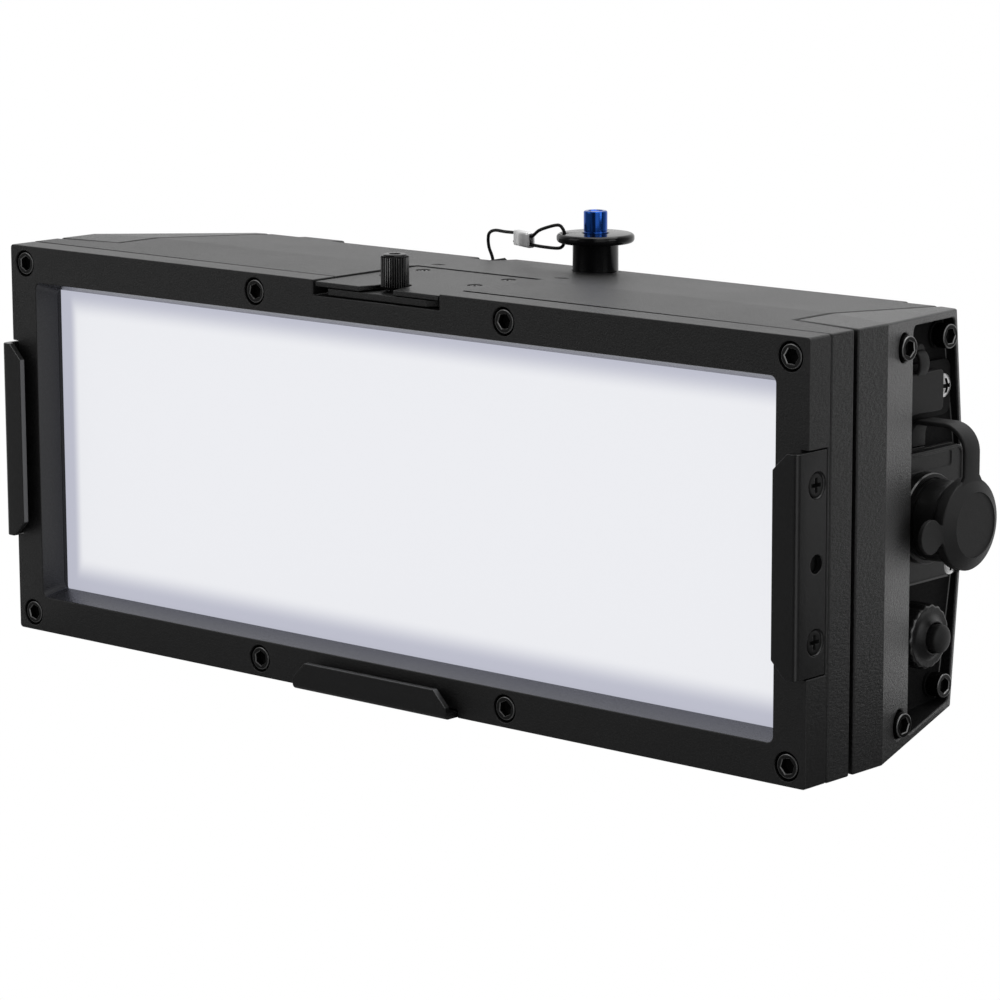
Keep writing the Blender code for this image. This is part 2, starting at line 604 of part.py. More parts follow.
def build_housing(root):
    """Shoulder ring and centre body in one casting, open in front and behind."""
    ring_edge = RING_BACK + RING_TAPER
    plan = [(-HALF_W, RING_FRONT), (HALF_W, RING_FRONT), (HALF_W, RING_BACK), (CENTRE_HALF, ring_edge),
            (CENTRE_HALF, REAR_APEX + EDGE), (-CENTRE_HALF, REAR_APEX + EDGE), (-CENTRE_HALF, ring_edge),
            (-HALF_W, RING_BACK)]
    tall = HALF_H + EDGE
    housing = loft("main_housing", [(plan, -tall), (plan, tall)], "z", "black_powder", root)
    side = body_side(0, REAR_BACK, REAR_APEX)
    wide = HALF_W + EDGE
    combine(housing, loft("side_profile", [(side, -wide), (side, wide)], "x", None, root), "INTERSECT")
    behind = REAR_APEX + 2 * EDGE
    slope = APEX_REACH / (HALF_H - REAR_DROP)
    shoulder = [(APEX_BACK - tall * slope, -tall), (behind, -tall), (behind, tall),
                (APEX_BACK - tall * slope, tall), (APEX_BACK, 0)]
    for sign in (1, -1):
        cut(housing, loft(f"rear_step_{sign}", [(shoulder, sign * REAR_HALF), (shoulder, sign * wide)], "x",
                          None, root))
    rebate = rounded(DIFFUSER_HALF_W + SEAM, DIFFUSER_HALF_H + SEAM, WINDOW_RADIUS)
    cut(housing, loft("diffuser_rebate", [(rebate, 0), (rebate, LEDGE_Y)], "y", None, root))
    neck = rounded(CHAMBER_MOUTH_HALF_WIDTH + 2 * SEAM, CHAMBER_HALF_HEIGHT + SEAM, WINDOW_RADIUS)
    waist = rounded(CHAMBER_HALF_WIDTH + SEAM, CHAMBER_HALF_HEIGHT + SEAM, WINDOW_RADIUS)
    cut(housing, loft("light_throat", [(neck, 0), (neck, LEDGE_Y + SEAM), (waist, CHAMBER_WAIST),
                                       (waist, SINK_FRONT)], "y", None, root))
    room = rounded(CENTRE_HALF - HOUSING_WALL, CAVITY_HALF_HEIGHT, WINDOW_RADIUS)
    cut(housing, loft("sink_room", [(room, BOARD_FRONT - SEAM), (room, REAR_APEX + EDGE)], "y", None, root))
    cover_floor = COVER_TOP - COVER_THICK - SEAM
    cut(housing, block("cover_pocket", (-LATCH_HALF, 0, cover_floor),
                       (LATCH_HALF, LATCH_LENGTH + SEAM, HALF_H + EDGE), None, root))
    cut(housing, block("gate_channel", (-GATE_HALF - SEAM, 0, LATCH_FLOOR),
                       (GATE_HALF + SEAM, GATE_BACK + SEAM, cover_floor + EDGE), None, root))
    for side_sign in (-1, 1):
        drill(housing, f"tapped_{side_sign}", [(TAPPED_RADIUS, -TAPPED_DEPTH), (TAPPED_RADIUS, EDGE * 2)], "z",
              (side_sign * TAPPED_X, TAPPED_Y, top_at(TAPPED_Y)), root)
    drill(housing, "pin_seat", [(PIN_SHANK_RADIUS + SEAM, -HALF_H), (PIN_SHANK_RADIUS + SEAM, 0),
                                (PIN_NECK_RADIUS + SEAM, 0), (PIN_NECK_RADIUS + SEAM, EDGE * 4)], "z",
          (PIN_X, PIN_Y, PIN_SEAT), root, 24)
    cut(housing, block("control_mouth", (CONTROL_LEFT - SEAM, CONTROL_BACK, CONTROL_LOW),
                       (CONTROL_BAY_RIGHT, REAR_APEX, HALF_H + EDGE), None, root))
    floor = top_at(CONTROL_BACK) - GROOVE_DEPTH
    groove = [(GROOVE_LEFT, floor), (GROOVE_RIGHT, floor), (CONTROL_BAY_RIGHT, floor + GROOVE_DEPTH),
              (CONTROL_BAY_RIGHT, HALF_H), (GROOVE_LEFT, HALF_H)]
    cut(housing, loft("lanyard_groove", [(groove, CONTROL_BACK - GROOVE_LENGTH), (groove, REAR_APEX)], "y",
                      None, root))
    for number, (x, z) in enumerate(FRONT_SCREWS):
        drill(housing, f"tapped_front_{number}",
              [(SCREW_HOLE_RADIUS, 0), (SCREW_HOLE_RADIUS, COUNTERBORE_DEPTH + SCREW_SHANK_LENGTH + EDGE)],
              "y", (x, 0, z), root, 12)


def build_light_engine(root):
    outer = rounded(DIFFUSER_HALF_W, DIFFUSER_HALF_H, WINDOW_RADIUS)
    inner = rounded(WINDOW_HALF_W + SEAM, WINDOW_HALF_H + SEAM, WINDOW_RADIUS)
    back = RING_FRONT + GASKET_THICK
    loft("diffuser_gasket", [(inner, back), (inner, RING_FRONT), (outer, RING_FRONT), (outer, back)],
         "y", "black_rubber", root, cyclic=True)
    loft("diffuser", [(outer, DIFFUSER_FRONT), (outer, DIFFUSER_BACK)], "y", "soft_white", root)

    def wall(half_width, inset):
        return rounded(half_width - inset, CHAMBER_HALF_HEIGHT - inset, WINDOW_RADIUS)

    mouth, waist, end = CHAMBER_MOUTH_HALF_WIDTH, CHAMBER_HALF_WIDTH, BOARD_FRONT - SEAM
    sections = [(wall(mouth, 0), LEDGE_Y), (wall(waist, 0), CHAMBER_WAIST), (wall(waist, 0), end),
                (wall(waist, CHAMBER_WALL), end), (wall(waist, CHAMBER_WALL), CHAMBER_WAIST),
                (wall(mouth, CHAMBER_WALL), LEDGE_Y)]
    loft("mixing_chamber", sections, "y", "board_white", root, cyclic=True)

    half = CHAMBER_HALF_HEIGHT
    pitch = 2 * half / LED_ROWS
    front = BOARD_FRONT + LED_HEIGHT
    back = BOARD_FRONT + BOARD_THICK
    profile = [(back, -half), (front, -half)]
    for row in range(LED_ROWS):
        middle = -half + pitch * (row + 0.5)
        low, high = middle - LED_ROW_WIDTH / 2, middle + LED_ROW_WIDTH / 2
        profile += [(front, low), (BOARD_FRONT, low), (BOARD_FRONT, high), (front, high)]
    profile += [(front, half), (back, half)]
    loft("led_board", [(profile, -CHAMBER_HALF_WIDTH), (profile, CHAMBER_HALF_WIDTH)], "x",
         "board_white", root)


def build_heat_sink(root):
    """Comb of upright fins, trimmed to the wedge of the rear and cut round what stands in it."""
    half = CENTRE_HALF - HOUSING_WALL - SEAM
    count = int(2 * half / FIN_PITCH)
    start = -(count - 1) * FIN_PITCH / 2
    comb = [(-half, SINK_FRONT), (half, SINK_FRONT), (half, FIN_BASE)]
    for number in reversed(range(count)):
        middle = start + number * FIN_PITCH
        comb += [(middle + FIN_ROOT / 2, FIN_BASE), (middle + FIN_TIP / 2, REAR_APEX),
                 (middle - FIN_TIP / 2, REAR_APEX), (middle - FIN_ROOT / 2, FIN_BASE)]
    comb.append((-half, FIN_BASE))
    tall = CAVITY_HALF_HEIGHT - SEAM
    sink = loft("heat_sink", [(comb, -tall), (comb, tall)], "z", "black_anodised", root)
    wedge = [(0, -HALF_H), (CORNER_BACK - FIN_SETBACK, -HALF_H), (APEX_BACK - FIN_SETBACK, 0),
             (CORNER_BACK - FIN_SETBACK, HALF_H), (0, HALF_H)]
    combine(sink, loft("fin_trim", [(wedge, -HALF_W), (wedge, HALF_W)], "x", None, root), "INTERSECT")
    fit = rounded(half, tall, WINDOW_RADIUS)
    combine(sink, loft("sink_corners", [(fit, 0), (fit, REAR_APEX + EDGE)], "y", None, root), "INTERSECT")
    cut(sink, block("receiver_room", (-RECEIVER_HALF - SEAM, FIN_BASE, RECEIVER_BOTTOM - SEAM),
                    (RECEIVER_HALF + SEAM, REAR_APEX + EDGE, HALF_H), None, root))
    cut(sink, block("control_room", (CONTROL_LEFT - 2 * SEAM, CONTROL_FRONT - SEAM, CONTROL_LOW - SEAM),
                    (-RECEIVER_HALF - SEAM / 2, REAR_APEX + EDGE, HALF_H), None, root))


def build_receiver(root):
    """Cast block behind the sink: a bracket's tongue goes in from the rear, the pin locks it."""
    receiver = block("mount_receiver", (-RECEIVER_HALF, FIN_BASE + SEAM, RECEIVER_BOTTOM),
                     (RECEIVER_HALF, RECEIVER_BACK, CAVITY_TOP), "black_powder", root, EDGE)
    pocket = rounded(POCKET_HALF, (POCKET_HIGH - POCKET_LOW) / 2, CORNER_RADIUS, 2,
                     (0, (POCKET_HIGH + POCKET_LOW) / 2))
    mouth = rounded(POCKET_HALF + EDGE * 2, (POCKET_HIGH - POCKET_LOW) / 2 + EDGE * 2, CORNER_RADIUS, 2,
                    (0, (POCKET_HIGH + POCKET_LOW) / 2))
    cut(receiver, loft("tongue_pocket", [(pocket, POCKET_FRONT), (pocket, RECEIVER_BACK - EDGE * 2),
                                         (mouth, RECEIVER_BACK + EDGE / 2)], "y", None, root))
    bore = PIN_SHANK_RADIUS + SEAM
    drill(receiver, "pin_bore", [(bore, -PIN_SHANK_LENGTH - EDGE), (bore, EDGE * 4)], "z",
          (PIN_X, PIN_Y, PIN_SEAT), root)


def build_controls(root):
    middle = (CONTROL_LEFT + CONTROL_RIGHT) / 2
    module = block("control_module", (CONTROL_LEFT, CONTROL_FRONT, CONTROL_LOW),
                   (CONTROL_RIGHT, CONTROL_BACK, CAVITY_TOP), "black_plastic", root, CORNER_RADIUS)
    recess = rounded(SCREEN_HALF_WIDTH + SEAM, SCREEN_HALF_HEIGHT + SEAM, CORNER_RADIUS, 2, (middle, SCREEN_Z))
    floor = CONTROL_BACK - SCREEN_THICK
    cut(module, loft("screen_recess", [(recess, floor), (recess, CONTROL_BACK + EDGE)], "y", None, root))
    glass = rounded(SCREEN_HALF_WIDTH, SCREEN_HALF_HEIGHT, CORNER_RADIUS, 2, (middle, SCREEN_Z))
    loft("display_window", [(glass, floor + SEAM), (glass, CONTROL_BACK + SEAM / 2)], "y", "dark_glass", root)
    well = BUTTON_TRAVEL + SEAM
    for number in range(BUTTON_COUNT):
        x = middle + (number - (BUTTON_COUNT - 1) / 2) * BUTTON_PITCH
        hole = rounded(BUTTON_HALF_WIDTH + SEAM, BUTTON_HALF_HEIGHT + SEAM, CORNER_RADIUS, 2)
        name = f"menu_button_{number + 1}"
        cut(module, loft(name + "_well", [(hole, -well), (hole, EDGE)], "y", None, root,
                         location=(x, CONTROL_BACK, BUTTON_ROW_Z)))
        body = rounded(BUTTON_HALF_WIDTH, BUTTON_HALF_HEIGHT, CORNER_RADIUS, 2)
        crown = rounded(BUTTON_HALF_WIDTH - SEAM, BUTTON_HALF_HEIGHT - SEAM, CORNER_RADIUS, 2)
        loft(name, [(body, 0), (body, BUTTON_PROUD - SEAM), (crown, BUTTON_PROUD)], "y", "black_rubber",
             root, location=(x, CONTROL_BACK, BUTTON_ROW_Z))
    for number, sign in ((1, -1), (2, 1)):
        x = middle + sign * ENCODER_SPREAD
        hole_radius = ENCODER_SHAFT_RADIUS + SEAM
        hole_floor = -ENCODER_SHAFT_LENGTH - 2 * SEAM
        drill(module, f"encoder_hole_{number}", [(hole_radius, hole_floor), (hole_radius, EDGE)], "y",
              (x, CONTROL_BACK, ENCODER_Z), root)
        grip = lobed(ENCODER_RADIUS, SEAM * 2, ENCODER_LOBES, 2)
        count = len(grip)
        sections = [(circle(ENCODER_SHAFT_RADIUS, count), -ENCODER_SHAFT_LENGTH),
                    (circle(ENCODER_SHAFT_RADIUS, count), SEAM * 2),
                    (circle(ENCODER_RADIUS, count), SEAM * 2), (circle(ENCODER_RADIUS, count), SEAM * 6),
                    (grip, SEAM * 8), (grip, ENCODER_HEIGHT - EDGE),
                    (circle(ENCODER_RADIUS - EDGE * 1.5, count), ENCODER_HEIGHT)]
        loft(f"encoder_knob_{number}", sections, "y", "black_plastic", root,
             location=(x, CONTROL_BACK, ENCODER_Z))


def build_latch(root):
    """Gate that closes the top slot, guided under a cover plate and worked by a knurled thumb nut."""
    left, front, back = LATCH_HALF - SEAM, SEAM, LATCH_LENGTH
    slot, mouth = COVER_SLOT_HALF, COVER_MOUTH_HALF
    arc = [(-slot * math.cos(turn), KNOB_Y + slot * math.sin(turn))
           for turn in (math.radians(22.5 * step) for step in range(9))]
    outline = [(-left, front), (-mouth, front), (-slot, COVER_MOUTH_BACK)] + arc + [
        (slot, COVER_MOUTH_BACK), (mouth, front), (left, front), (left, back), (-left, back)]
    low = COVER_TOP - COVER_THICK
    loft("latch_cover", [(outline, low), (outline, COVER_TOP)], "z", "black_powder", root)

    nose, shoulder = GATE_HALF - GATE_NOSE, GATE_FRONT + GATE_NOSE
    gate_low = LATCH_FLOOR + SEAM
    shape = [(-nose, GATE_FRONT), (nose, GATE_FRONT), (GATE_HALF, shoulder), (GATE_HALF, GATE_BACK),
             (-GATE_HALF, GATE_BACK), (-GATE_HALF, shoulder)]
    gate = loft("latch_gate", [(shape, gate_low), (shape, gate_low + GATE_THICK)], "z", "black_powder", root)
    drill(gate, "gate_hole", [(KNOB_STUD_RADIUS + SEAM, -EDGE), (KNOB_STUD_RADIUS + SEAM, GATE_THICK + EDGE)],
          "z", (0, KNOB_Y, gate_low), root, 12)

    fluted = []
    for step in range(2 * KNOB_FLUTES):
        turn = math.pi * step / KNOB_FLUTES
        reach = KNOB_RADIUS - (KNOB_FLUTE if step % 2 else 0)
        fluted.append((reach * math.cos(turn), reach * math.sin(turn)))
    count = len(fluted)
    foot, top = KNOB_FOOT - LATCH_FLOOR, KNOB_TOP - LATCH_FLOOR
    rim = KNOB_RADIUS - EDGE / 2
    sections = [(circle(KNOB_STUD_RADIUS, count), SEAM * 2), (circle(KNOB_STUD_RADIUS, count), foot),
                (circle(rim, count), foot), (fluted, foot + EDGE / 2), (fluted, top - EDGE),
                (circle(rim - EDGE / 4, count), top - EDGE / 2), (circle(rim - EDGE, count), top)]
    knob = loft("latch_knob", sections, "z", "black_anodised", root, location=(0, KNOB_Y, LATCH_FLOOR))
    drill(knob, "knob_dimple", [(KNOB_DIMPLE_RADIUS - EDGE / 2, -KNOB_DIMPLE_DEPTH),
                                (KNOB_DIMPLE_RADIUS, EDGE / 2 - KNOB_DIMPLE_DEPTH), (KNOB_DIMPLE_RADIUS, EDGE)],
          "z", (0, KNOB_Y, KNOB_TOP), root, 12)


def build_pin(root):
    """Ball-lock pin: shank through the receiver, flanged handle on the top, blue push button."""
    seat = SEAM
    flange = PIN_FLANGE_Z - PIN_SEAT
    top = flange + PIN_FLANGE_THICK
    rim = EDGE
    profile = [(PIN_SHANK_RADIUS - EDGE, -PIN_SHANK_LENGTH), (PIN_SHANK_RADIUS, -PIN_SHANK_LENGTH + EDGE),
               (PIN_SHANK_RADIUS, seat), (PIN_NECK_RADIUS, seat),
               (PIN_NECK_RADIUS, flange), (PIN_FLANGE_RADIUS - rim, flange), (PIN_FLANGE_RADIUS, flange + rim),
               (PIN_FLANGE_RADIUS, top - rim), (PIN_FLANGE_RADIUS - rim, top)]
    pin = turned("lock_pin", profile, "z", "black_anodised", root, (PIN_X, PIN_Y, PIN_SEAT), 20)
    bore = PIN_BUTTON_RADIUS + SEAM
    well = PIN_BUTTON_TRAVEL + 2 * SEAM
    foot = top - PIN_BUTTON_FOOT
    drill(pin, "button_bore", [(bore, foot - well), (bore, top + EDGE)], "z", (PIN_X, PIN_Y, PIN_SEAT), root)
    eye = lanyard_eye()
    drill(pin, "lanyard_eye", [(PIN_EYE_RADIUS, flange - EDGE), (PIN_EYE_RADIUS, top + EDGE)], "z",
          (eye[0], eye[1], PIN_SEAT), root, 12)
    height = PIN_BUTTON_TOP - PIN_SEAT
    turned("pin_button", [(PIN_BUTTON_RADIUS, foot), (PIN_BUTTON_RADIUS, height - EDGE / 2),
                          (PIN_BUTTON_RADIUS - EDGE / 2, height)], "z", "blue_anodised", root,
           (PIN_X, PIN_Y, PIN_SEAT), 20)


def lanyard_eye():
    """Middle of the hole in the pin's flange that the lanyard's loop goes through."""
    turn = math.radians(PIN_EYE_ANGLE)
    return PIN_X + PIN_EYE_REACH * math.cos(turn), PIN_Y + PIN_EYE_REACH * math.sin(turn)


# The lanyard from its anchor to the stub behind the ferrule, from the pin's axis at the panel's top
LANYARD_OFFSETS = (
    (-0.0378, -0.0070, -0.02975), (-0.0382, -0.0070, -0.03775), (-0.0402, -0.0052, -0.04475),
    (-0.0430, -0.0010, -0.04755), (-0.0452, 0.0035, -0.04475), (-0.0465, 0.0065, -0.03575),
    (-0.0472, 0.0078, -0.02375), (-0.0474, 0.0082, -0.01175), (-0.0476, 0.0083, -0.00465),
    (-0.0500, 0.0092, -0.00075), (-0.0505, 0.0094, 0.00195), (-0.0496, 0.0091, 0.00375),
    (-0.0462, 0.0078, 0.00485), (-0.0404, 0.0057, 0.00505), (-0.0337, 0.0032, 0.00545),
    (-0.0292, 0.0015, 0.00545), (-0.0247, -0.0001, 0.00545), (-0.0209, -0.0015, 0.00745),
    (-0.0170, -0.0029, 0.00875), (-0.0114, -0.0047, 0.01015), (-0.0086, -0.0056, 0.01015),
    (-0.0068, -0.0061, 0.00845), (-0.0067, -0.0061, 0.00665), (-0.0074, -0.0059, 0.00475),
    (-0.0098, -0.0052, 0.00355), (-0.0171, -0.0028, 0.00305), (-0.0247, -0.0001, 0.00285),
    (-0.0292, 0.0015, 0.00285), (-0.0348, 0.0036, 0.00285))
LANYARD_ROUTE = [(PIN_X + x, PIN_Y + y, HALF_H + z) for x, y, z in LANYARD_OFFSETS]
FERRULE_SPAN = (14, 16)


def smooth_route(points, step):
    """Points about one step apart on a smooth curve through a route's own points."""
    fine = []
    for i in range(len(points) - 1):
        before, here = points[max(i - 1, 0)], points[i]
        after, beyond = points[i + 1], points[min(i + 2, len(points) - 1)]
        for part in range(ROUND):
            t = part / ROUND
            fine.append([0.5 * (2 * b + (c - a) * t + (2 * a - 5 * b + 4 * c - d) * t * t
                                + (3 * b - a - 3 * c + d) * t ** 3)
                         for a, b, c, d in zip(before, here, after, beyond)])
    fine.append(list(points[-1]))
    spans = [math.dist(a, b) for a, b in zip(fine, fine[1:])]
    count = round(sum(spans) / step)
    spaced, index, walked = [], 0, 0.0
    for number in range(count + 1):
        goal = min(sum(spans) * number / count, sum(spans) * (1 - 1e-9))
        while walked + spans[index] < goal:
            walked += spans[index]
            index += 1
        share = (goal - walked) / spans[index]
        spaced.append([a + (b - a) * share for a, b in zip(fine[index], fine[index + 1])])
    return spaced


def build_lanyard(root):
    curve = bpy.data.curves.new("lanyard", "CURVE")
    curve.dimensions = "3D"
    curve.bevel_depth = LANYARD_RADIUS
    curve.bevel_resolution = 2
    curve.use_fill_caps = True
    points = smooth_route(LANYARD_ROUTE, LANYARD_STEP)
    spline = curve.splines.new("POLY")
    spline.points.add(len(points) - 1)
    for slot, point in zip(spline.points, points):
        slot.co = (*point, 1.0)
    add_object("lanyard", curve, "black_rubber", root)

    entry, leave = (Vector(LANYARD_ROUTE[index]) for index in FERRULE_SPAN)
    middle = (entry + leave) / 2
    run = math.atan2(leave.y - entry.y, leave.x - entry.x)
    outline = rounded(FERRULE_HALF_THICK, FERRULE_HALF_HEIGHT, FERRULE_CORNER, 3)
    half = FERRULE_LENGTH / 2
    centre = (middle.x, middle.y, middle.z - FERRULE_STRAND)
    ferrule = loft("lanyard_ferrule", [(outline, -half), (outline, half)], "x", "bright_steel", root,
                   location=centre, rotation=(0, 0, run))
    bore = LANYARD_RADIUS + STRAND_GAP
    slot = rounded(bore, FERRULE_STRAND + bore, LANYARD_RADIUS, 3)
    cut(ferrule, loft("ferrule_bore", [(slot, -half - EDGE), (slot, half + EDGE)], "x", None, root,
                      location=centre, rotation=(0, 0, run)))

    start = LANYARD_ROUTE[0]
    wall = -RECEIVER_HALF - SEAM
    top = wall - ANCHOR_HEIGHT
    turned("lanyard_anchor", [(ANCHOR_RADIUS - ANCHOR_CHAMFER, top), (ANCHOR_RADIUS, top + ANCHOR_CHAMFER),
                              (ANCHOR_RADIUS, wall)], "x", "bright_steel", root,
           (0, start[1], start[2] + LANYARD_RADIUS + CORD_GAP + ANCHOR_RADIUS))


def bay_outline(inset):
    """Side outline (Y, Z) of a connector bay, parallel to the end cap's edges."""
    slope = REAR_DROP / (CORNER_BACK - HIP_BACK)
    front_z = HALF_H - (BAY_FRONT - HIP_BACK) * slope - inset
    rear_z = HALF_H - (CORNER_BACK - HIP_BACK) * slope - inset
    rear = CORNER_BACK - inset * BAY_REAR_WALL / BAY_WALL
    return round_corners([(BAY_FRONT, -front_z), (rear, -rear_z), (APEX_BACK - inset, 0), (rear, rear_z),
                          (BAY_FRONT, front_z)], BAY_RADIUS)


def build_end_cap(side, sign, root):
    """Wedge-shaped casting with a connector bay; built for +X and turned about Z for the other side."""
    inner = CAP_INNER
    corner_x = HALF_W - SIDE_TAPER
    apex_x = HALF_W - (APEX_BACK - HIP_BACK) * SIDE_DROP
    groove = RING_BACK + CAP_GROOVE
    ring_edge = RING_BACK + RING_TAPER + SEAM
    points = [(HALF_W, groove, HALF_H), (inner, ring_edge, HALF_H), (HALF_W, HIP_BACK, HALF_H),
              (inner, CREASE_BACK, HALF_H), (corner_x, CORNER_BACK, REAR_Z - SEAM / 2),
              (inner, CORNER_BACK, REAR_Z)]
    mesh = bpy.data.meshes.new("end_cap_" + side)
    build = bmesh.new()
    for x, y, z in points:
        for up in (1, -1):
            build.verts.new((sign * x, y, up * z))
    for x in (apex_x, inner):
        build.verts.new((sign * x, APEX_BACK, 0))
    hull = bmesh.ops.convex_hull(build, input=build.verts)
    unused = hull["geom_interior"] + hull["geom_unused"]
    bmesh.ops.delete(build, geom=[item for item in unused if isinstance(item, bmesh.types.BMVert)],
                     context="VERTS")
    bmesh.ops.dissolve_limit(build, angle_limit=math.radians(0.5), verts=build.verts, edges=build.edges)
    bmesh.ops.recalc_face_normals(build, faces=build.faces)
    build.to_mesh(mesh)
    build.free()
    cap = add_object("end_cap_" + side, mesh, "black_powder", root)
    bevel = cap.modifiers.new("edges", "BEVEL")
    bevel.width = EDGE / 2
    bevel.segments = 1
    bevel.limit_method = "ANGLE"
    bevel.angle_limit = math.radians(30)
    outline = bay_outline(BAY_WALL)
    out = sign * (HALF_W + EDGE)
    cut(cap, loft("bay_" + side, [(outline, sign * BAY_FLOOR), (outline, out)], "x", None, root))
    for up in (1, -1):
        tag = f"{side}_{'top' if up > 0 else 'bottom'}"
        boss = turned("boss_" + tag, [(SIDE_BOSS_RADIUS, sign * (BAY_FLOOR - EDGE)),
                                      (SIDE_BOSS_RADIUS, sign * SIDE_SCREW_REAR_SEAT)], "x", None, root,
                      (0, SIDE_SCREW_REAR_Y, up * SIDE_SCREW_REAR_Z))
        combine(cap, boss, "UNION")
        for row, y, z, seat in (("front", SIDE_SCREW_FRONT_Y, SIDE_SCREW_FRONT_Z, SIDE_SCREW_FRONT_SEAT),
                                ("rear", SIDE_SCREW_REAR_Y, SIDE_SCREW_REAR_Z, SIDE_SCREW_REAR_SEAT)):
            deep = seat - SCREW_SHANK_LENGTH - EDGE
            if row == "front":
                profile = [(SCREW_HOLE_RADIUS, sign * deep), (SCREW_HOLE_RADIUS, sign * seat),
                           (COUNTERBORE_RADIUS, sign * seat), (COUNTERBORE_RADIUS, out)]
            else:
                deep = inner - EDGE
                profile = [(SCREW_HOLE_RADIUS, sign * deep), (SCREW_HOLE_RADIUS, out)]
            drill(cap, f"side_hole_{tag}_{row}", profile, "x", (0, y, up * z), root)
            length_free = seat - inner if row == "rear" else SCREW_SHANK_LENGTH
            side_screw(f"side_screw_{tag}_{row}", sign, (sign * seat, y, up * z), length_free, root)
    outer = body_side(ring_edge, CORNER_BACK, APEX_BACK, EDGE * 2)
    hole = body_side(ring_edge, CORNER_BACK, APEX_BACK, EDGE * 2 + SEAL_BAND)
    start, end = sign * (CENTRE_HALF + SEAM), sign * (inner - SEAM)
    loft("end_seal_" + side, [(outer, start), (outer, end), (hole, end), (hole, start)], "x",
         "black_rubber", root, cyclic=True)


def side_screw(name, sign, seat, length, root):
    """Same cap screw laid along X; its shank is as long as its hole."""
    top = SCREW_HEAD_HEIGHT + SEAM
    tip = -min(length, SCREW_SHANK_LENGTH) + SEAM
    sections = [(circle(SCREW_SHANK_RADIUS, 12), sign * tip), (circle(SCREW_SHANK_RADIUS, 12), sign * SEAM),
                (circle(SCREW_HEAD_RADIUS, 12), sign * SEAM), (circle(SCREW_HEAD_RADIUS, 12), sign * top),
                (hexagon(SCREW_SOCKET), sign * top),
                (hexagon(SCREW_SOCKET), sign * (top - SCREW_SOCKET_DEPTH))]
    loft(name, sections, "x", "black_screw", root, location=seat)


def band_mesh(name, path, width):
    """Strap of even thickness: path holds (x, z, normal x, normal z) with the thickness on the normal."""
    sections = []
    for x, z, nx, nz in path:
        half = STRAP_THICK / 2
        sections.append([(x + nx * half, -width / 2, z + nz * half), (x + nx * half, width / 2, z + nz * half),
                         (x - nx * half, width / 2, z - nz * half), (x - nx * half, -width / 2, z - nz * half)])
    mesh = bpy.data.meshes.new(name)
    build = bmesh.new()
    loops = [[build.verts.new(point) for point in section] for section in sections]
    for low, high in zip(loops, loops[1:]):
        for i in range(4):
            build.faces.new((low[i], low[(i + 1) % 4], high[(i + 1) % 4], high[i]))
    build.faces.new(loops[0])
    build.faces.new(loops[-1])
    bmesh.ops.recalc_face_normals(build, faces=build.faces)
    build.to_mesh(mesh)
    build.free()
    return mesh


def strap_path(outside, start_z, inside, end_z):
    """Strap from the cap: a wide bend, a level run over the inlet and a tight bend down to the lug."""
    path = [(outside, start_z, 1, 0)]
    for middle_x, reach, rise, quarter in ((outside - STRAP_BEND, STRAP_BEND, STRAP_BEND, 0),
                                           (inside + STRAP_HEEL, STRAP_HEEL, STRAP_HEEL_RISE, 90)):
        for step in range(7):
            turn = math.radians(quarter + 15 * step)
            normal = Vector((rise * math.cos(turn), reach * math.sin(turn))).normalized()
            path.append((middle_x + reach * math.cos(turn), STRAP_TOP - rise + rise * math.sin(turn), *normal))
    path.append((inside, end_z, -1, 0))
    return path


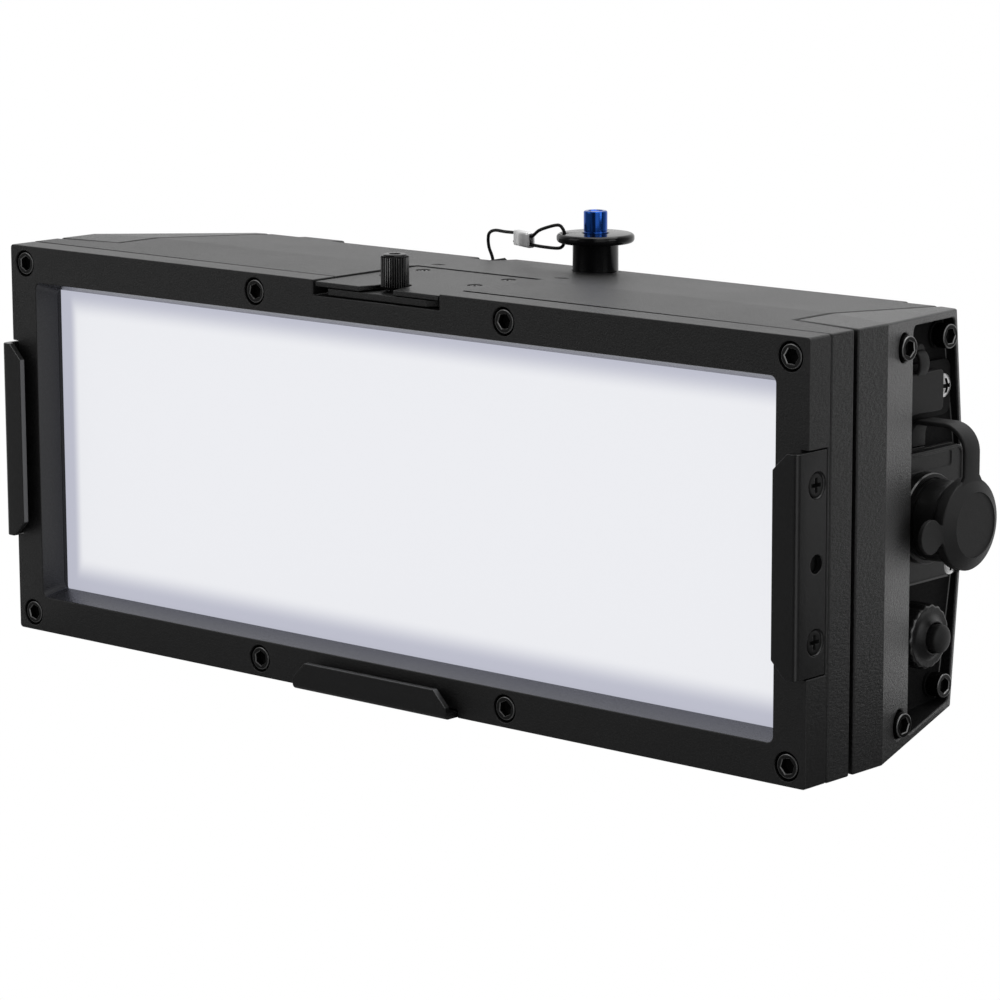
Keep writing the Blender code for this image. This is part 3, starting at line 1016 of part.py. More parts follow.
def build_power(root):
    """Inlet in the right bay: rubber gasket, flanged barrel, push-in cap and the strap that holds it."""
    back = PART_BACK
    flange_back = back + INLET_GASKET + SEAM
    flange_front = flange_back + INLET_FLANGE
    centre = (BAY_AXIS_Y, 0)
    low = rounded(INLET_HALF_WIDTH, INLET_HALF_HEIGHT, INLET_CORNER, 3, centre)
    hole = circle(INLET_BARREL_RADIUS - EDGE, len(low), centre)
    gasket = loft("inlet_gasket", [(hole, back), (low, back), (low, back + INLET_GASKET),
                                   (hole, back + INLET_GASKET)], "x", "black_rubber", root, cyclic=True)
    lug_z = INLET_HALF_HEIGHT + SEAM * 2
    combine(gasket, block("gasket_lug", (back, BAY_AXIS_Y - STRAP_WIDTH / 2, INLET_HALF_HEIGHT - EDGE),
                          (back + INLET_GASKET, BAY_AXIS_Y + STRAP_WIDTH / 2, lug_z), None, root), "UNION")

    wide, high = INLET_HALF_WIDTH - SEAM, INLET_HALF_HEIGHT - SEAM
    flange = block("power_inlet", (flange_back, BAY_AXIS_Y - wide, -high),
                   (flange_front, BAY_AXIS_Y + wide, high), "black_plastic", root)
    barrel = turned("inlet_barrel", [(INLET_BARREL_RADIUS - EDGE - SEAM, back),
                                     (INLET_BARREL_RADIUS - EDGE - SEAM, flange_back + EDGE),
                                     (INLET_BARREL_RADIUS, flange_back + EDGE),
                                     (INLET_BARREL_RADIUS, INLET_BARREL_END)], "x", None, root,
                    (0, *centre), 28)
    combine(flange, barrel, "UNION")
    drill(flange, "inlet_bore", [(INLET_BORE_RADIUS, INLET_BORE_FLOOR),
                                 (INLET_BORE_RADIUS, INLET_BARREL_END + EDGE)], "x", (0, *centre), root, 24)

    face = INLET_BARREL_END + 2 * SEAM
    cap = turned("power_cap", [
        (POWER_PLUG_RADIUS - EDGE, -POWER_PLUG_DEPTH), (POWER_PLUG_RADIUS, EDGE - POWER_PLUG_DEPTH),
        (POWER_PLUG_RADIUS, 0), (POWER_CAP_RADIUS - EDGE, 0), (POWER_CAP_RADIUS, EDGE),
        (POWER_CAP_RADIUS, POWER_CAP_THICK - POWER_CAP_CHAMFER), (POWER_CAP_FACE, POWER_CAP_THICK)],
        "x", "black_rubber", root, (face, *centre), 28)
    ear_y = BAY_AXIS_Y - POWER_CAP_RADIUS - CAP_EAR_REACH
    ear_end = EDGE + CAP_EAR_THICK
    ear = turned("cap_ear", [(CAP_EAR_RADIUS, EDGE), (CAP_EAR_RADIUS, ear_end)], "x", None, root,
                 (face, ear_y, -CAP_EAR_DROP))
    combine(cap, ear, "UNION")
    link = block("ear_link", (face + EDGE + SEAM, ear_y, -CAP_EAR_DROP - CAP_EAR_NECK),
                 (face + ear_end - SEAM, ear_y + 2 * CAP_EAR_REACH, CAP_EAR_NECK - CAP_EAR_DROP), None, root)
    combine(cap, link, "UNION")
    root_z = POWER_CAP_RADIUS - EDGE
    cap_middle = face + POWER_CAP_THICK / 2
    neck = block("cap_neck", (cap_middle - STRAP_THICK / 2, BAY_AXIS_Y - STRAP_WIDTH / 2, root_z - STRAP_ROOT),
                 (cap_middle + STRAP_THICK / 2, BAY_AXIS_Y + STRAP_WIDTH / 2, root_z + STRAP_NECK), None, root)
    combine(cap, neck, "UNION")
    mesh = band_mesh("cap_strap", strap_path(cap_middle, root_z + STRAP_NECK + SEAM,
                                             back + INLET_GASKET / 2, lug_z + SEAM), STRAP_WIDTH)
    smooth(add_object("cap_strap", mesh, "black_rubber", root, (0, BAY_AXIS_Y, 0)))


def build_data_port(root):
    back = PART_BACK
    front = back + DATA_PLATE_THICK
    outline = rounded(DATA_PLATE_HALF_WIDTH, DATA_PLATE_HALF_HEIGHT, DATA_PLATE_CORNER, 3, (BAY_AXIS_Y, DATA_Z))
    port = loft("data_port", [(outline, back), (outline, front)], "x", "black_plastic", root)
    cavity = rounded(DATA_COVER_HALF_WIDTH - DATA_CAVITY_INSET, DATA_COVER_HALF_HEIGHT - DATA_CAVITY_INSET,
                     EDGE, 2, (BAY_AXIS_Y, DATA_Z))
    cut(port, loft("port_cavity", [(cavity, back + EDGE), (cavity, front + EDGE)], "x", None, root))
    hinge_x = front + SEAM + DATA_COVER_THICK / 2
    drop = DATA_Z - DATA_HINGE_Z
    cover_back = -DATA_COVER_THICK / 2
    lid = rounded(DATA_COVER_HALF_WIDTH, DATA_COVER_HALF_HEIGHT, DATA_COVER_CORNER, 2, (0, drop))
    top = rounded(DATA_COVER_HALF_WIDTH - SEAM, DATA_COVER_HALF_HEIGHT - SEAM, DATA_COVER_CORNER, 2, (0, drop))
    cover = loft("data_cover", [(lid, cover_back), (lid, -cover_back - SEAM), (top, -cover_back)], "x",
                 "black_rubber", root, location=(hinge_x, BAY_AXIS_Y, DATA_HINGE_Z))
    half = DATA_TONGUE_THICK / 2
    tongue = [(-half, drop + DATA_COVER_HALF_HEIGHT - EDGE), (half, drop + DATA_COVER_HALF_HEIGHT - EDGE)] + [
        (half * math.cos(turn), half * math.sin(turn))
        for turn in (math.radians(45 * step) for step in range(5))]
    combine(cover, loft("cover_tongue", [(tongue, -DATA_TONGUE_HALF_WIDTH), (tongue, DATA_TONGUE_HALF_WIDTH)],
                        "y", None, root, location=(hinge_x, BAY_AXIS_Y, DATA_HINGE_Z)), "UNION")
    turned("cover_stud", [(DATA_TONGUE_HALF_WIDTH, back), (DATA_TONGUE_HALF_WIDTH, hinge_x - half - SEAM)], "x",
           "black_rubber", root, (0, BAY_AXIS_Y, DATA_HINGE_Z), 12)


def build_reset_button(root):
    """Sealed push button: scalloped ring nut with a rubber dome in the middle."""
    back = PART_BACK
    ring = lobed(RESET_RING_RADIUS, RESET_LOBE_DEPTH, RESET_LOBES)
    count = len(ring)
    bore = circle(RESET_DOME_RADIUS + SEAM, count)
    shoulder = circle(RESET_RING_RADIUS - RESET_RING_CHAMFER, count)
    loft("reset_ring", [(bore, back), (ring, back), (ring, back + RESET_RING_SHOULDER),
                        (shoulder, back + RESET_RING_HEIGHT), (bore, back + RESET_RING_HEIGHT)],
         "x", "black_plastic", root, cyclic=True, location=(0, BAY_AXIS_Y, RESET_Z))
    side = back + RESET_DOME_SIDE
    dome = [(RESET_DOME_RADIUS, back + RESET_TRAVEL + SEAM), (RESET_DOME_RADIUS, side)]
    for degrees in RESET_DOME_STEPS:
        turn = math.radians(degrees)
        dome.append((RESET_DOME_RADIUS * math.cos(turn), side + RESET_DOME_RISE * math.sin(turn)))
    turned("reset_button", dome, "x", "black_rubber", root, (0, BAY_AXIS_Y, RESET_Z))


def build_left_sockets(root):
    """Two panel sockets for data leads, each with a hinged rubber cap."""
    back = PART_BACK
    front = back + SOCKET_FLANGE
    for name, z in (("in", SOCKET_Z), ("out", -SOCKET_Z)):
        outline = rounded(SOCKET_HALF_WIDTH, SOCKET_HALF_HEIGHT, SOCKET_CORNER, 3, (BAY_AXIS_Y, z))
        socket = loft("data_socket_" + name, [(outline, -back), (outline, -front)], "x", "black_plastic", root)
        barrel = turned("socket_barrel_" + name, [(SOCKET_BARREL_RADIUS, -back - EDGE / 2),
                                                  (SOCKET_BARREL_RADIUS, -SOCKET_BARREL_END)], "x", None, root,
                        (0, BAY_AXIS_Y, z), 24)
        combine(socket, barrel, "UNION")
        drill(socket, "socket_bore_" + name, [(SOCKET_BORE_RADIUS, -back - EDGE),
                                              (SOCKET_BORE_RADIUS, -SOCKET_BARREL_END - EDGE)], "x",
              (0, BAY_AXIS_Y, z), root, 20)
        face = SOCKET_BARREL_END + SEAM
        hinge_z = z + SOCKET_BARREL_RADIUS + SOCKET_HINGE_RISE
        hinge_x = face + SOCKET_CAP_THICK / 2
        radius = SOCKET_BARREL_RADIUS + SEAM
        thick = SOCKET_CAP_THICK / 2
        cap = turned("socket_cap_" + name, [(radius, thick), (radius, EDGE - thick), (radius - EDGE, -thick)],
                     "x", "black_rubber", root, (-hinge_x, BAY_AXIS_Y, z), 24)
        half, thin = SOCKET_STEM_HALF_WIDTH, SOCKET_STEM_HALF_THICK
        stem = block("cap_stem_" + name, (-hinge_x - thin, BAY_AXIS_Y - half, z + SOCKET_BARREL_RADIUS - EDGE),
                     (-hinge_x + thin, BAY_AXIS_Y + half, hinge_z + thin), None, root)
        combine(cap, stem, "UNION")


def build_screws(root):
    for number, (x, z) in enumerate(FRONT_SCREWS):
        screw(f"front_screw_{number + 1}", root, (x, SEAM, z), (math.pi / 2, 0, 0))


def build_panel():
    remove_everything()
    root = bpy.data.objects.new("panel_origin", None)
    bpy.context.scene.collection.objects.link(root)
    root.location = (0, -BASE_SPOT, HALF_H)
    build_front_frame(root)
    for side in CLIP_PLACES:
        build_clip(side, root)
    build_housing(root)
    build_light_engine(root)
    build_heat_sink(root)
    build_receiver(root)
    build_controls(root)
    build_latch(root)
    build_pin(root)
    build_lanyard(root)
    for side, sign in (("right", 1), ("left", -1)):
        build_end_cap(side, sign, root)
    build_power(root)
    build_data_port(root)
    build_reset_button(root)
    build_left_sockets(root)
    build_screws(root)


build_panel()
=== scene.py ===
"""Looks of the LED soft light panel: finely modelled pieces, finishes, studio light and camera.

Every piece is drawn from the middle of the panel's front face (X right, Y back, Z up), in metres.
"""
import math
import bpy
import bmesh
from mathutils import Matrix, Vector


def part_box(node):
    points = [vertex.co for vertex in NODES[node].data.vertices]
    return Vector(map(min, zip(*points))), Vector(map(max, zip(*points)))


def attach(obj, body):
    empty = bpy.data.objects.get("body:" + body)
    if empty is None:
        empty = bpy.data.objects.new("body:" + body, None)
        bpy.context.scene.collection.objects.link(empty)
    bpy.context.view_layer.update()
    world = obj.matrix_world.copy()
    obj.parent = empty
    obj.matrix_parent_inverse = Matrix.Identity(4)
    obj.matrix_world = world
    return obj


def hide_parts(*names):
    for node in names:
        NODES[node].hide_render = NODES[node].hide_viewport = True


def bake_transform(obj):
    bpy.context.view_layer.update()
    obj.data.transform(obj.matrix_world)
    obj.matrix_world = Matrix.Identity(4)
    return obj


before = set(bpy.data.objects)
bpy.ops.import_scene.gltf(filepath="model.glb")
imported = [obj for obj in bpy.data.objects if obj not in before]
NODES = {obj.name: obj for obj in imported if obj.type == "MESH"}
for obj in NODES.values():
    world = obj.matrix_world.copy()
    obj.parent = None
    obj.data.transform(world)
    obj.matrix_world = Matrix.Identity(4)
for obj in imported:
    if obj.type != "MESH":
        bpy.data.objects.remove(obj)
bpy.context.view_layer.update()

# Gap between neighbouring pieces, and how far a cutter goes past the face that it cuts
SEAM = 0.0003
PAST = 0.001

# Body sizes; the front frame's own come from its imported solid
FRAME_LOW, FRAME_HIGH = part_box("front_frame")
ORIGIN = Vector((0, FRAME_LOW.y, (FRAME_LOW.z + FRAME_HIGH.z) / 2))
HALF_W = FRAME_HIGH.x
HALF_H = (FRAME_HIGH.z - FRAME_LOW.z) / 2
FRAME_DEPTH = FRAME_HIGH.y - FRAME_LOW.y
WINDOW_HALF_W = 0.1416
WINDOW_HALF_H = 0.0488
WINDOW_RADIUS = 0.002
THROAT_HALF_H = 0.0465
THROAT_SHIFT = -0.0007
CORNER_RADIUS = 0.001
RING_FRONT = FRAME_DEPTH + SEAM
RING_BACK = 0.0192
RING_EDGE = 0.0235
CENTRE_HALF = 0.129
CREASE_BACK = 0.040
HIP_BACK = 0.034
CORNER_BACK = 0.0895
APEX_BACK = 0.0989
REAR_BACK = 0.0926
REAR_APEX = 0.102
REAR_HALF = 0.117
REAR_DROP = 0.0034
TOP_SLOPE = REAR_DROP / (CORNER_BACK - CREASE_BACK)
SIDE_DROP = 0.3045

# Edge rounding: machined frame, cast bodies, folded sheet, moulded parts; and the least angle it rounds
FRAME_EDGE = 0.0003
CAST_EDGE = 0.0006
SHEET_EDGE = 0.00028
MOULD_EDGE = 0.0003
EDGE_ANGLE = 32

# Points round a large and a small circle
FINE = 64
SMALL = 32

# Screws
SCREW_SIDE_X = 0.14625
SCREW_INNER_X = 0.04784
SCREW_ROW_Z = 0.0543
SCREW_HEAD_RADIUS = 0.0035
SCREW_HEAD_HEIGHT = 0.004
SCREW_SHANK_RADIUS = 0.0019
SCREW_SOCKET = 0.0039
SCREW_SOCKET_MOUTH = 0.0043
SCREW_SOCKET_DEPTH = 0.0021
SCREW_KNURLS = 32
SCREW_KNURL_DEPTH = 0.00012
COUNTERBORE_RADIUS = 0.004
COUNTERBORE_DEPTH = 0.0043

# Clips
CLIP_SHEET = 0.002
CLIP_LENGTH = 0.0598
CLIP_REACH = 0.00475
CLIP_LIP = 0.0082
CLIP_BEND = 0.0016
CLIP_PLATE_BACK = 0.0079
CLIP_CHAMFER = 0.0047
CLIP_SCREW_Y = 0.0038
CLIP_SCREW_Z = 0.0208
CLIP_SCREW_HEAD = 0.0036
CLIP_HOLE_RADIUS = 0.0025

# Latch
LATCH_HALF = 0.0243
LATCH_LENGTH = 0.044
LATCH_FLOOR = 0.05525
COVER_THICK = 0.0015
COVER_TOP = 0.05932
COVER_BACK_GAP = 0.0011
COVER_SIDE_GAP = 0.0007
COVER_SLOT_HALF = 0.0047
COVER_MOUTH_HALF = 0.0066
COVER_MOUTH_BACK = 0.006
GATE_THICK = 0.0020
GATE_FRONT = 0.0008
GATE_BACK = 0.027
GATE_HALF = 0.023
KNOB_Y = 0.0083
KNOB_RADIUS = 0.00403
KNOB_FLUTES = 36
KNOB_FLUTE = 0.0004
KNOB_FOOT = 0.0585
KNOB_TOP = 0.0683
KNOB_STUD_RADIUS = 0.0015
TAPPED_X = 0.0239
TAPPED_Y = 0.0529
COVER_SCREWS = ((-0.017, 0.023), (0.017, 0.023), (-0.0165, 0.038), (0.0165, 0.038))
CONTROL_BACK = 0.087
CONTROL_RIGHT_WALL = -0.0285
GROOVE_LEFT = -0.0378
GROOVE_RIGHT = -0.0325
GROOVE_DEPTH = 0.00095
GROOVE_LENGTH = 0.005

# Pin and lanyard
PIN_X = 0.011
PIN_Y = 0.083
PIN_SEAT = 0.0564
PIN_SPOT = (PIN_X, PIN_Y, PIN_SEAT)
PIN_FLANGE_Z = 0.06535
PIN_FLANGE_THICK = 0.0027
PIN_SHANK_RADIUS = 0.004
PIN_SHANK_LENGTH = 0.037
PIN_NECK_RADIUS = 0.00676
PIN_FLANGE_RADIUS = 0.01148
PIN_BUTTON_RADIUS = 0.0035
PIN_BUTTON_TOP = 0.0747
PIN_EYE = (0.00425, 0.0769)
PIN_EYE_RADIUS = 0.0013
LANYARD_DIAMETER = 0.001
FERRULE_LENGTH = 0.0088
FERRULE_HALF_HEIGHT = 0.0023
FERRULE_HALF_THICK = 0.0013
FERRULE_STRAND = 0.0013
FERRULE_SPAN = (14, 16)

# Connector bays
BAY_FLOOR = 0.132
BAY_FRONT = 0.054
BAY_WALL = 0.0023
BAY_RADIUS = 0.002
BAY_AXIS_Y = 0.074
PART_BACK = 0.1323
# Side screws: row, place back and up from the middle, distance of the head's seat
SIDE_SCREWS = (("front", 0.0467, 0.0514, 0.1462), ("rear", 0.0845, 0.0492, 0.1328))
SIDE_BOSS_RADIUS = 0.0038


def world_from_face(point):
    return ORIGIN + Vector(point)


# Mesh building

def add_object(name, data):
    item = bpy.data.objects.new(name, data)
    bpy.context.scene.collection.objects.link(item)
    return item


def add_item(name, mesh, location=(0, 0, 0), rotation=(0, 0, 0)):
    item = add_object(name, mesh)
    item.location = world_from_face(location)
    item.rotation_euler = rotation
    return item


def place(axis, u, v, t):
    """Point of a flat outline (u, v) that stands at t along an axis."""
    if axis == "x":
        return (t, u, v)
    if axis == "y":
        return (u, t, v)
    return (u, v, t)


def skin(name, loops_of_points, cyclic=False):
    """Closed mesh through rings of points with equal counts."""
    mesh = bpy.data.meshes.new(name)
    build = bmesh.new()
    loops = [[build.verts.new(point) for point in ring] for ring in loops_of_points]
    pairs = list(zip(loops, loops[1:]))
    if cyclic:
        pairs.append((loops[-1], loops[0]))
    for low, high in pairs:
        count = len(low)
        for i in range(count):
            build.faces.new((low[i], low[(i + 1) % count], high[(i + 1) % count], high[i]))
    if not cyclic:
        build.faces.new(loops[0])
        build.faces.new(loops[-1])
    bmesh.ops.recalc_face_normals(build, faces=build.faces)
    build.to_mesh(mesh)
    build.free()
    mesh.shade_smooth()
    return mesh


def loft(name, sections, axis, cyclic=False, location=(0, 0, 0), rotation=(0, 0, 0), sharp=30):
    rings = [[place(axis, u, v, t) for u, v in outline] for outline, t in sections]
    mesh = skin(name, rings, cyclic)
    mesh.set_sharp_from_angle(angle=math.radians(sharp))
    return add_item(name, mesh, location, rotation)


def rounded(half_u, half_v, radius, steps=6, centre=(0, 0)):
    points = []
    for sign_u, sign_v, start in ((1, 1, 0), (-1, 1, 90), (-1, -1, 180), (1, -1, 270)):
        for step in range(steps + 1):
            turn = math.radians(start + 90 * step / steps)
            points.append((centre[0] + sign_u * (half_u - radius) + radius * math.cos(turn),
                           centre[1] + sign_v * (half_v - radius) + radius * math.sin(turn)))
    return points


def circle(radius, count=FINE, centre=(0, 0)):
    return [(centre[0] + radius * math.cos(2 * math.pi * i / count),
             centre[1] + radius * math.sin(2 * math.pi * i / count)) for i in range(count)]


def hexagon(across_flats, count):
    points = []
    for i in range(count):
        turn = 2 * math.pi * i / count
        wedge = (turn + math.pi / 6) % (math.pi / 3) - math.pi / 6
        reach = across_flats / 2 / math.cos(wedge)
        points.append((reach * math.cos(turn), reach * math.sin(turn)))
    return points


def waved(radius, depth, waves, points_each=8, sharpness=1.0):
    """Circle with soft grooves: lobes, flutes or knurls."""
    count = waves * points_each
    outline = []
    for i in range(count):
        turn = 2 * math.pi * i / count
        groove = ((1 - math.cos(waves * turn)) / 2) ** sharpness
        reach = radius - depth * groove
        outline.append((reach * math.cos(turn), reach * math.sin(turn)))
    return outline


def round_corners(points, radius, steps=6):
    result = []
    for i, point in enumerate(points):
        here = Vector(point)
        before = (Vector(points[i - 1]) - here).normalized()
        after = (Vector(points[(i + 1) % len(points)]) - here).normalized()
        half = before.angle(after) / 2
        if half > math.radians(80):
            result.append(tuple(here))
            continue
        reach = radius / math.tan(half)
        start, end = here + before * reach, here + after * reach
        middle = here + (before + after).normalized() * (radius / math.sin(half))
        for step in range(steps + 1):
            arm = (start - middle).lerp(end - middle, step / steps).normalized()
            result.append(tuple(middle + arm * radius))
    return result


def box_outline(low_u, high_u, low_v, high_v):
    return [(low_u, low_v), (high_u, low_v), (high_u, high_v), (low_u, high_v)]


def prism(name, outline, start, end, axis, location=(0, 0, 0), rotation=(0, 0, 0)):
    """Straight solid of one outline."""
    return loft(name, [(outline, start), (outline, end)], axis, location=location, rotation=rotation)


def block(name, low, high):
    return prism(name, box_outline(low[0], high[0], low[2], high[2]), low[1], high[1], "y")


def circles(profile, count):
    """Sections for a loft from (radius, place) pairs, listed from one end to the other."""
    return [(circle(radius, count), t) for radius, t in profile]


def turned(name, profile, axis, location=(0, 0, 0), count=FINE, sharp=30, rotation=(0, 0, 0)):
    return loft(name, circles(profile, count), axis, location=location, rotation=rotation, sharp=sharp)


def drill(radius, start, end, axis, location, count=SMALL):
    return turned("drill", [(radius, start), (radius, end)], axis, location, count)


def soft_edge(radius, place_at, size, direction, steps=4):
    """Quarter round on a turned edge: profile pairs from the wall to the face."""
    pairs = []
    for step in range(steps + 1):
        turn = math.radians(90 * step / steps)
        pairs.append((radius - size * (1 - math.cos(turn)),
                      place_at - direction * size * (1 - math.sin(turn))))
    return pairs


def carve(item, cutters=(), joins=(), edge=0.0, segments=3, even=False):
    """Joins and cuts an item with helper solids, rounds its edges and drops the helpers."""
    helpers = [(helper, "UNION") for helper in joins] + [(helper, "DIFFERENCE") for helper in cutters]
    for helper, operation in helpers:
        tool = item.modifiers.new(operation, "BOOLEAN")
        tool.operation = operation
        tool.object = helper
        tool.solver = "EXACT"
    if edge:
        bevel = item.modifiers.new("edges", "BEVEL")
        bevel.width = edge
        bevel.segments = segments
        bevel.limit_method = "ANGLE"
        bevel.angle_limit = math.radians(EDGE_ANGLE)
        bevel.use_clamp_overlap = False
        bevel.harden_normals = True
    if even:
        shading = item.modifiers.new("flat_faces_stay_flat", "WEIGHTED_NORMAL")
        shading.weight = 100
        shading.keep_sharp = True
    graph = bpy.context.evaluated_depsgraph_get()
    mesh = bpy.data.meshes.new_from_object(item.evaluated_get(graph), preserve_all_data_layers=True,
                                           depsgraph=graph)
    item.modifiers.clear()
    item.data = mesh
    for helper, _ in helpers:
        bpy.data.objects.remove(helper)
    return item


def sharpen_creases(item, low=2.0, high=8.0):
    """Marks shallow folds, by their angle in degrees, so that both sides keep their own tone."""
    build = bmesh.new()
    build.from_mesh(item.data)
    for edge in build.edges:
        if len(edge.link_faces) == 2 and low < math.degrees(edge.calc_face_angle(0.0)) < high:
            edge.smooth = False
    build.to_mesh(item.data)
    build.free()


def keep(item, material, body, slot, *nodes):
    """Gives a finished piece its material and solids, and its body unless it bends between two; its slot is
    not used.
    """
    item.data.materials.clear()
    item.data.materials.append(material)
    if body:
        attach(item, body)
    if nodes:
        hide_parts(*nodes)
    return item


def paint(item, material, chosen):
    """Gives another finish to the faces of a kept piece that pass a test."""
    item.data.materials.append(material)
    for face in item.data.polygons:
        if chosen(face):
            face.material_index = len(item.data.materials) - 1


def item_point(item, face):
    """Middle of a piece's face, from the panel's front face."""
    return item.matrix_world @ face.center - ORIGIN


# Shader groups

def new_group(name, inputs, outputs):
    group = bpy.data.node_groups.new(name, "ShaderNodeTree")
    for socket, kind, value in inputs:
        made = group.interface.new_socket(name=socket, in_out="INPUT", socket_type=kind)
        if value is not None:
            made.default_value = value
    for socket, kind in outputs:
        group.interface.new_socket(name=socket, in_out="OUTPUT", socket_type=kind)
    return group, group.nodes.new("NodeGroupInput"), group.nodes.new("NodeGroupOutput")


def supply(tree, socket, value):
    """Links an output to a socket, or sets the socket to a number, vector or colour."""
    if isinstance(value, bpy.types.NodeSocket):
        tree.links.new(value, socket)
    elif socket.type == "RGBA":
        socket.default_value = (*value, 1.0)
    else:
        socket.default_value = value


def maths(tree, operation, a, b=None, clamp=False):
    node = tree.nodes.new("ShaderNodeMath")
    node.operation = operation
    node.use_clamp = clamp
    supply(tree, node.inputs[0], a)
    if b is not None:
        supply(tree, node.inputs[1], b)
    return node.outputs[0]


def vector_maths(tree, operation, a, b):
    node = tree.nodes.new("ShaderNodeVectorMath")
    node.operation = operation
    supply(tree, node.inputs[0], a)
    supply(tree, node.inputs[1], b)
    return node.outputs["Vector"]


def between(tree, share, low, high):
    """Number that goes from low to high as share goes from 0 to 1."""
    return maths(tree, "ADD", maths(tree, "MULTIPLY", maths(tree, "SUBTRACT", high, low), share), low)


def axes_of(tree, vector):
    """A vector's X, Y and Z as outputs of their own."""
    split = tree.nodes.new("ShaderNodeSeparateXYZ")
    tree.links.new(vector, split.inputs[0])
    return split.outputs


def mix_colour(tree, factor, first, second):
    node = tree.nodes.new("ShaderNodeMix")
    node.data_type = "RGBA"
    for name, value in (("Factor", factor), ("A", first), ("B", second)):
        supply(tree, node.inputs[name], value)
    return node.outputs["Result"]


def noise(tree, vector, scale, detail=2.0, roughness=0.5):
    node = tree.nodes.new("ShaderNodeTexNoise")
    for name, value in (("Vector", vector), ("Scale", scale), ("Detail", detail), ("Roughness", roughness)):
        supply(tree, node.inputs[name], value)
    return node.outputs["Fac"]


def spread(tree, value, low, high, to_low=0.0, to_high=1.0, smooth=False, clamp=True):
    node = tree.nodes.new("ShaderNodeMapRange")
    node.interpolation_type = "SMOOTHSTEP" if smooth else "LINEAR"
    node.clamp = clamp
    for name, amount in (("Value", value), ("From Min", low), ("From Max", high),
                         ("To Min", to_low), ("To Max", to_high)):
        supply(tree, node.inputs[name], amount)
    return node.outputs["Result"]


def bump(tree, height, strength, distance):
    node = tree.nodes.new("ShaderNodeBump")
    for name, value in (("Height", height), ("Strength", strength), ("Distance", distance)):
        supply(tree, node.inputs[name], value)
    return node.outputs["Normal"]


def object_point(tree):
    return tree.nodes.new("ShaderNodeTexCoord").outputs["Object"]


def new_finish_group(name, amounts):
    """Group of a finish: a colour and named amounts go in; colour, roughness and normal come out."""
    inputs = [("Color", "NodeSocketColor", (0.02, 0.02, 0.02, 1.0))]
    inputs += [(socket, "NodeSocketFloat", amount) for socket, amount in amounts]
    return new_group(name, inputs, [("Color", "NodeSocketColor"), ("Roughness", "NodeSocketFloat"),
                                    ("Normal", "NodeSocketVector")])


def close_finish_group(group, feed, out, gain, shift, normal):
    """Puts out the colour times gain, the roughness plus shift, and the normal."""
    scale = group.nodes.new("ShaderNodeVectorMath")
    scale.operation = "SCALE"
    supply(group, scale.inputs[0], feed.outputs["Color"])
    supply(group, scale.inputs["Scale"], gain)
    supply(group, out.inputs["Color"], scale.outputs["Vector"])
    supply(group, out.inputs["Roughness"], maths(group, "ADD", feed.outputs["Roughness"], shift))
    supply(group, out.inputs["Normal"], normal)
    return group


def build_grain_group():
    """Fine orange-peel of a coat or moulding: speckled colour, uneven gloss and a grainy normal."""
    group, feed, out = new_finish_group("surface_grain", (
        ("Grain Scale", 1500.0), ("Grain Strength", 0.3), ("Speckle", 0.25), ("Roughness", 0.5),
        ("Roughness Spread", 0.08)))
    point = object_point(group)
    drawn_out = vector_maths(group, "MULTIPLY", point, (1.0, 0.45, 1.0))
    grain = noise(group, drawn_out, feed.outputs["Grain Scale"], 4.0, 0.72)
    cloud = maths(group, "SUBTRACT", noise(group, point, 38.0, 3.0, 0.55), 0.5)
    lift = maths(group, "MULTIPLY", maths(group, "SUBTRACT", grain, 0.5), feed.outputs["Speckle"])
    drift = maths(group, "MULTIPLY", cloud, 0.35)
    gain = maths(group, "ADD", maths(group, "ADD", lift, drift), 1.0)
    shift = maths(group, "MULTIPLY", cloud, feed.outputs["Roughness Spread"])
    normal = bump(group, grain, feed.outputs["Grain Strength"], 0.0004)
    return close_finish_group(group, feed, out, gain, shift, normal)


def build_turning_group():
    """Lathe marks round Z, broken by fine scratches."""
    group, feed, out = new_finish_group("turning_marks", (
        ("Pitch", 6000.0), ("Strength", 0.1), ("Roughness", 0.3)))
    point = object_point(group)
    x, y, z = axes_of(group, point)
    squares = [maths(group, "MULTIPLY", side, side) for side in (x, y)]
    join = group.nodes.new("ShaderNodeCombineXYZ")
    supply(group, join.inputs["X"], maths(group, "SQRT", maths(group, "ADD", *squares)))
    supply(group, join.inputs["Z"], z)
    rings = noise(group, join.outputs[0], feed.outputs["Pitch"], 2.0, 0.5)
    wear = noise(group, point, 420.0, 3.0, 0.6)
    gain = spread(group, rings, 0.3, 0.7, 0.85, 1.15)
    shift = maths(group, "MULTIPLY", maths(group, "SUBTRACT", wear, 0.5), 0.14)
    normal = bump(group, rings, feed.outputs["Strength"], 0.00008)
    return close_finish_group(group, feed, out, gain, shift, normal)


GRAIN = build_grain_group()
TURNING = build_turning_group()


def new_material(name):
    material = bpy.data.materials.new(name)
    material.use_nodes = True
    return material, material.node_tree, material.node_tree.nodes["Principled BSDF"]


def shaded_material(name, group, values, metallic=0.0, specular=0.5, tint=(1.0, 1.0, 1.0)):
    """Principled surface fed by a shader group; what is the same all over sits on the shader."""
    material, tree, shader = new_material(name)
    effect = tree.nodes.new("ShaderNodeGroup")
    effect.node_tree = group
    for socket, value in values.items():
        supply(tree, effect.inputs[socket], value)
    for output, socket in (("Color", "Base Color"), ("Roughness", "Roughness"), ("Normal", "Normal")):
        tree.links.new(effect.outputs[output], shader.inputs[socket])
    shader.inputs["Metallic"].default_value = metallic
    shader.inputs["Specular IOR Level"].default_value = specular
    shader.inputs["Specular Tint"].default_value = (*tint, 1.0)
    return material


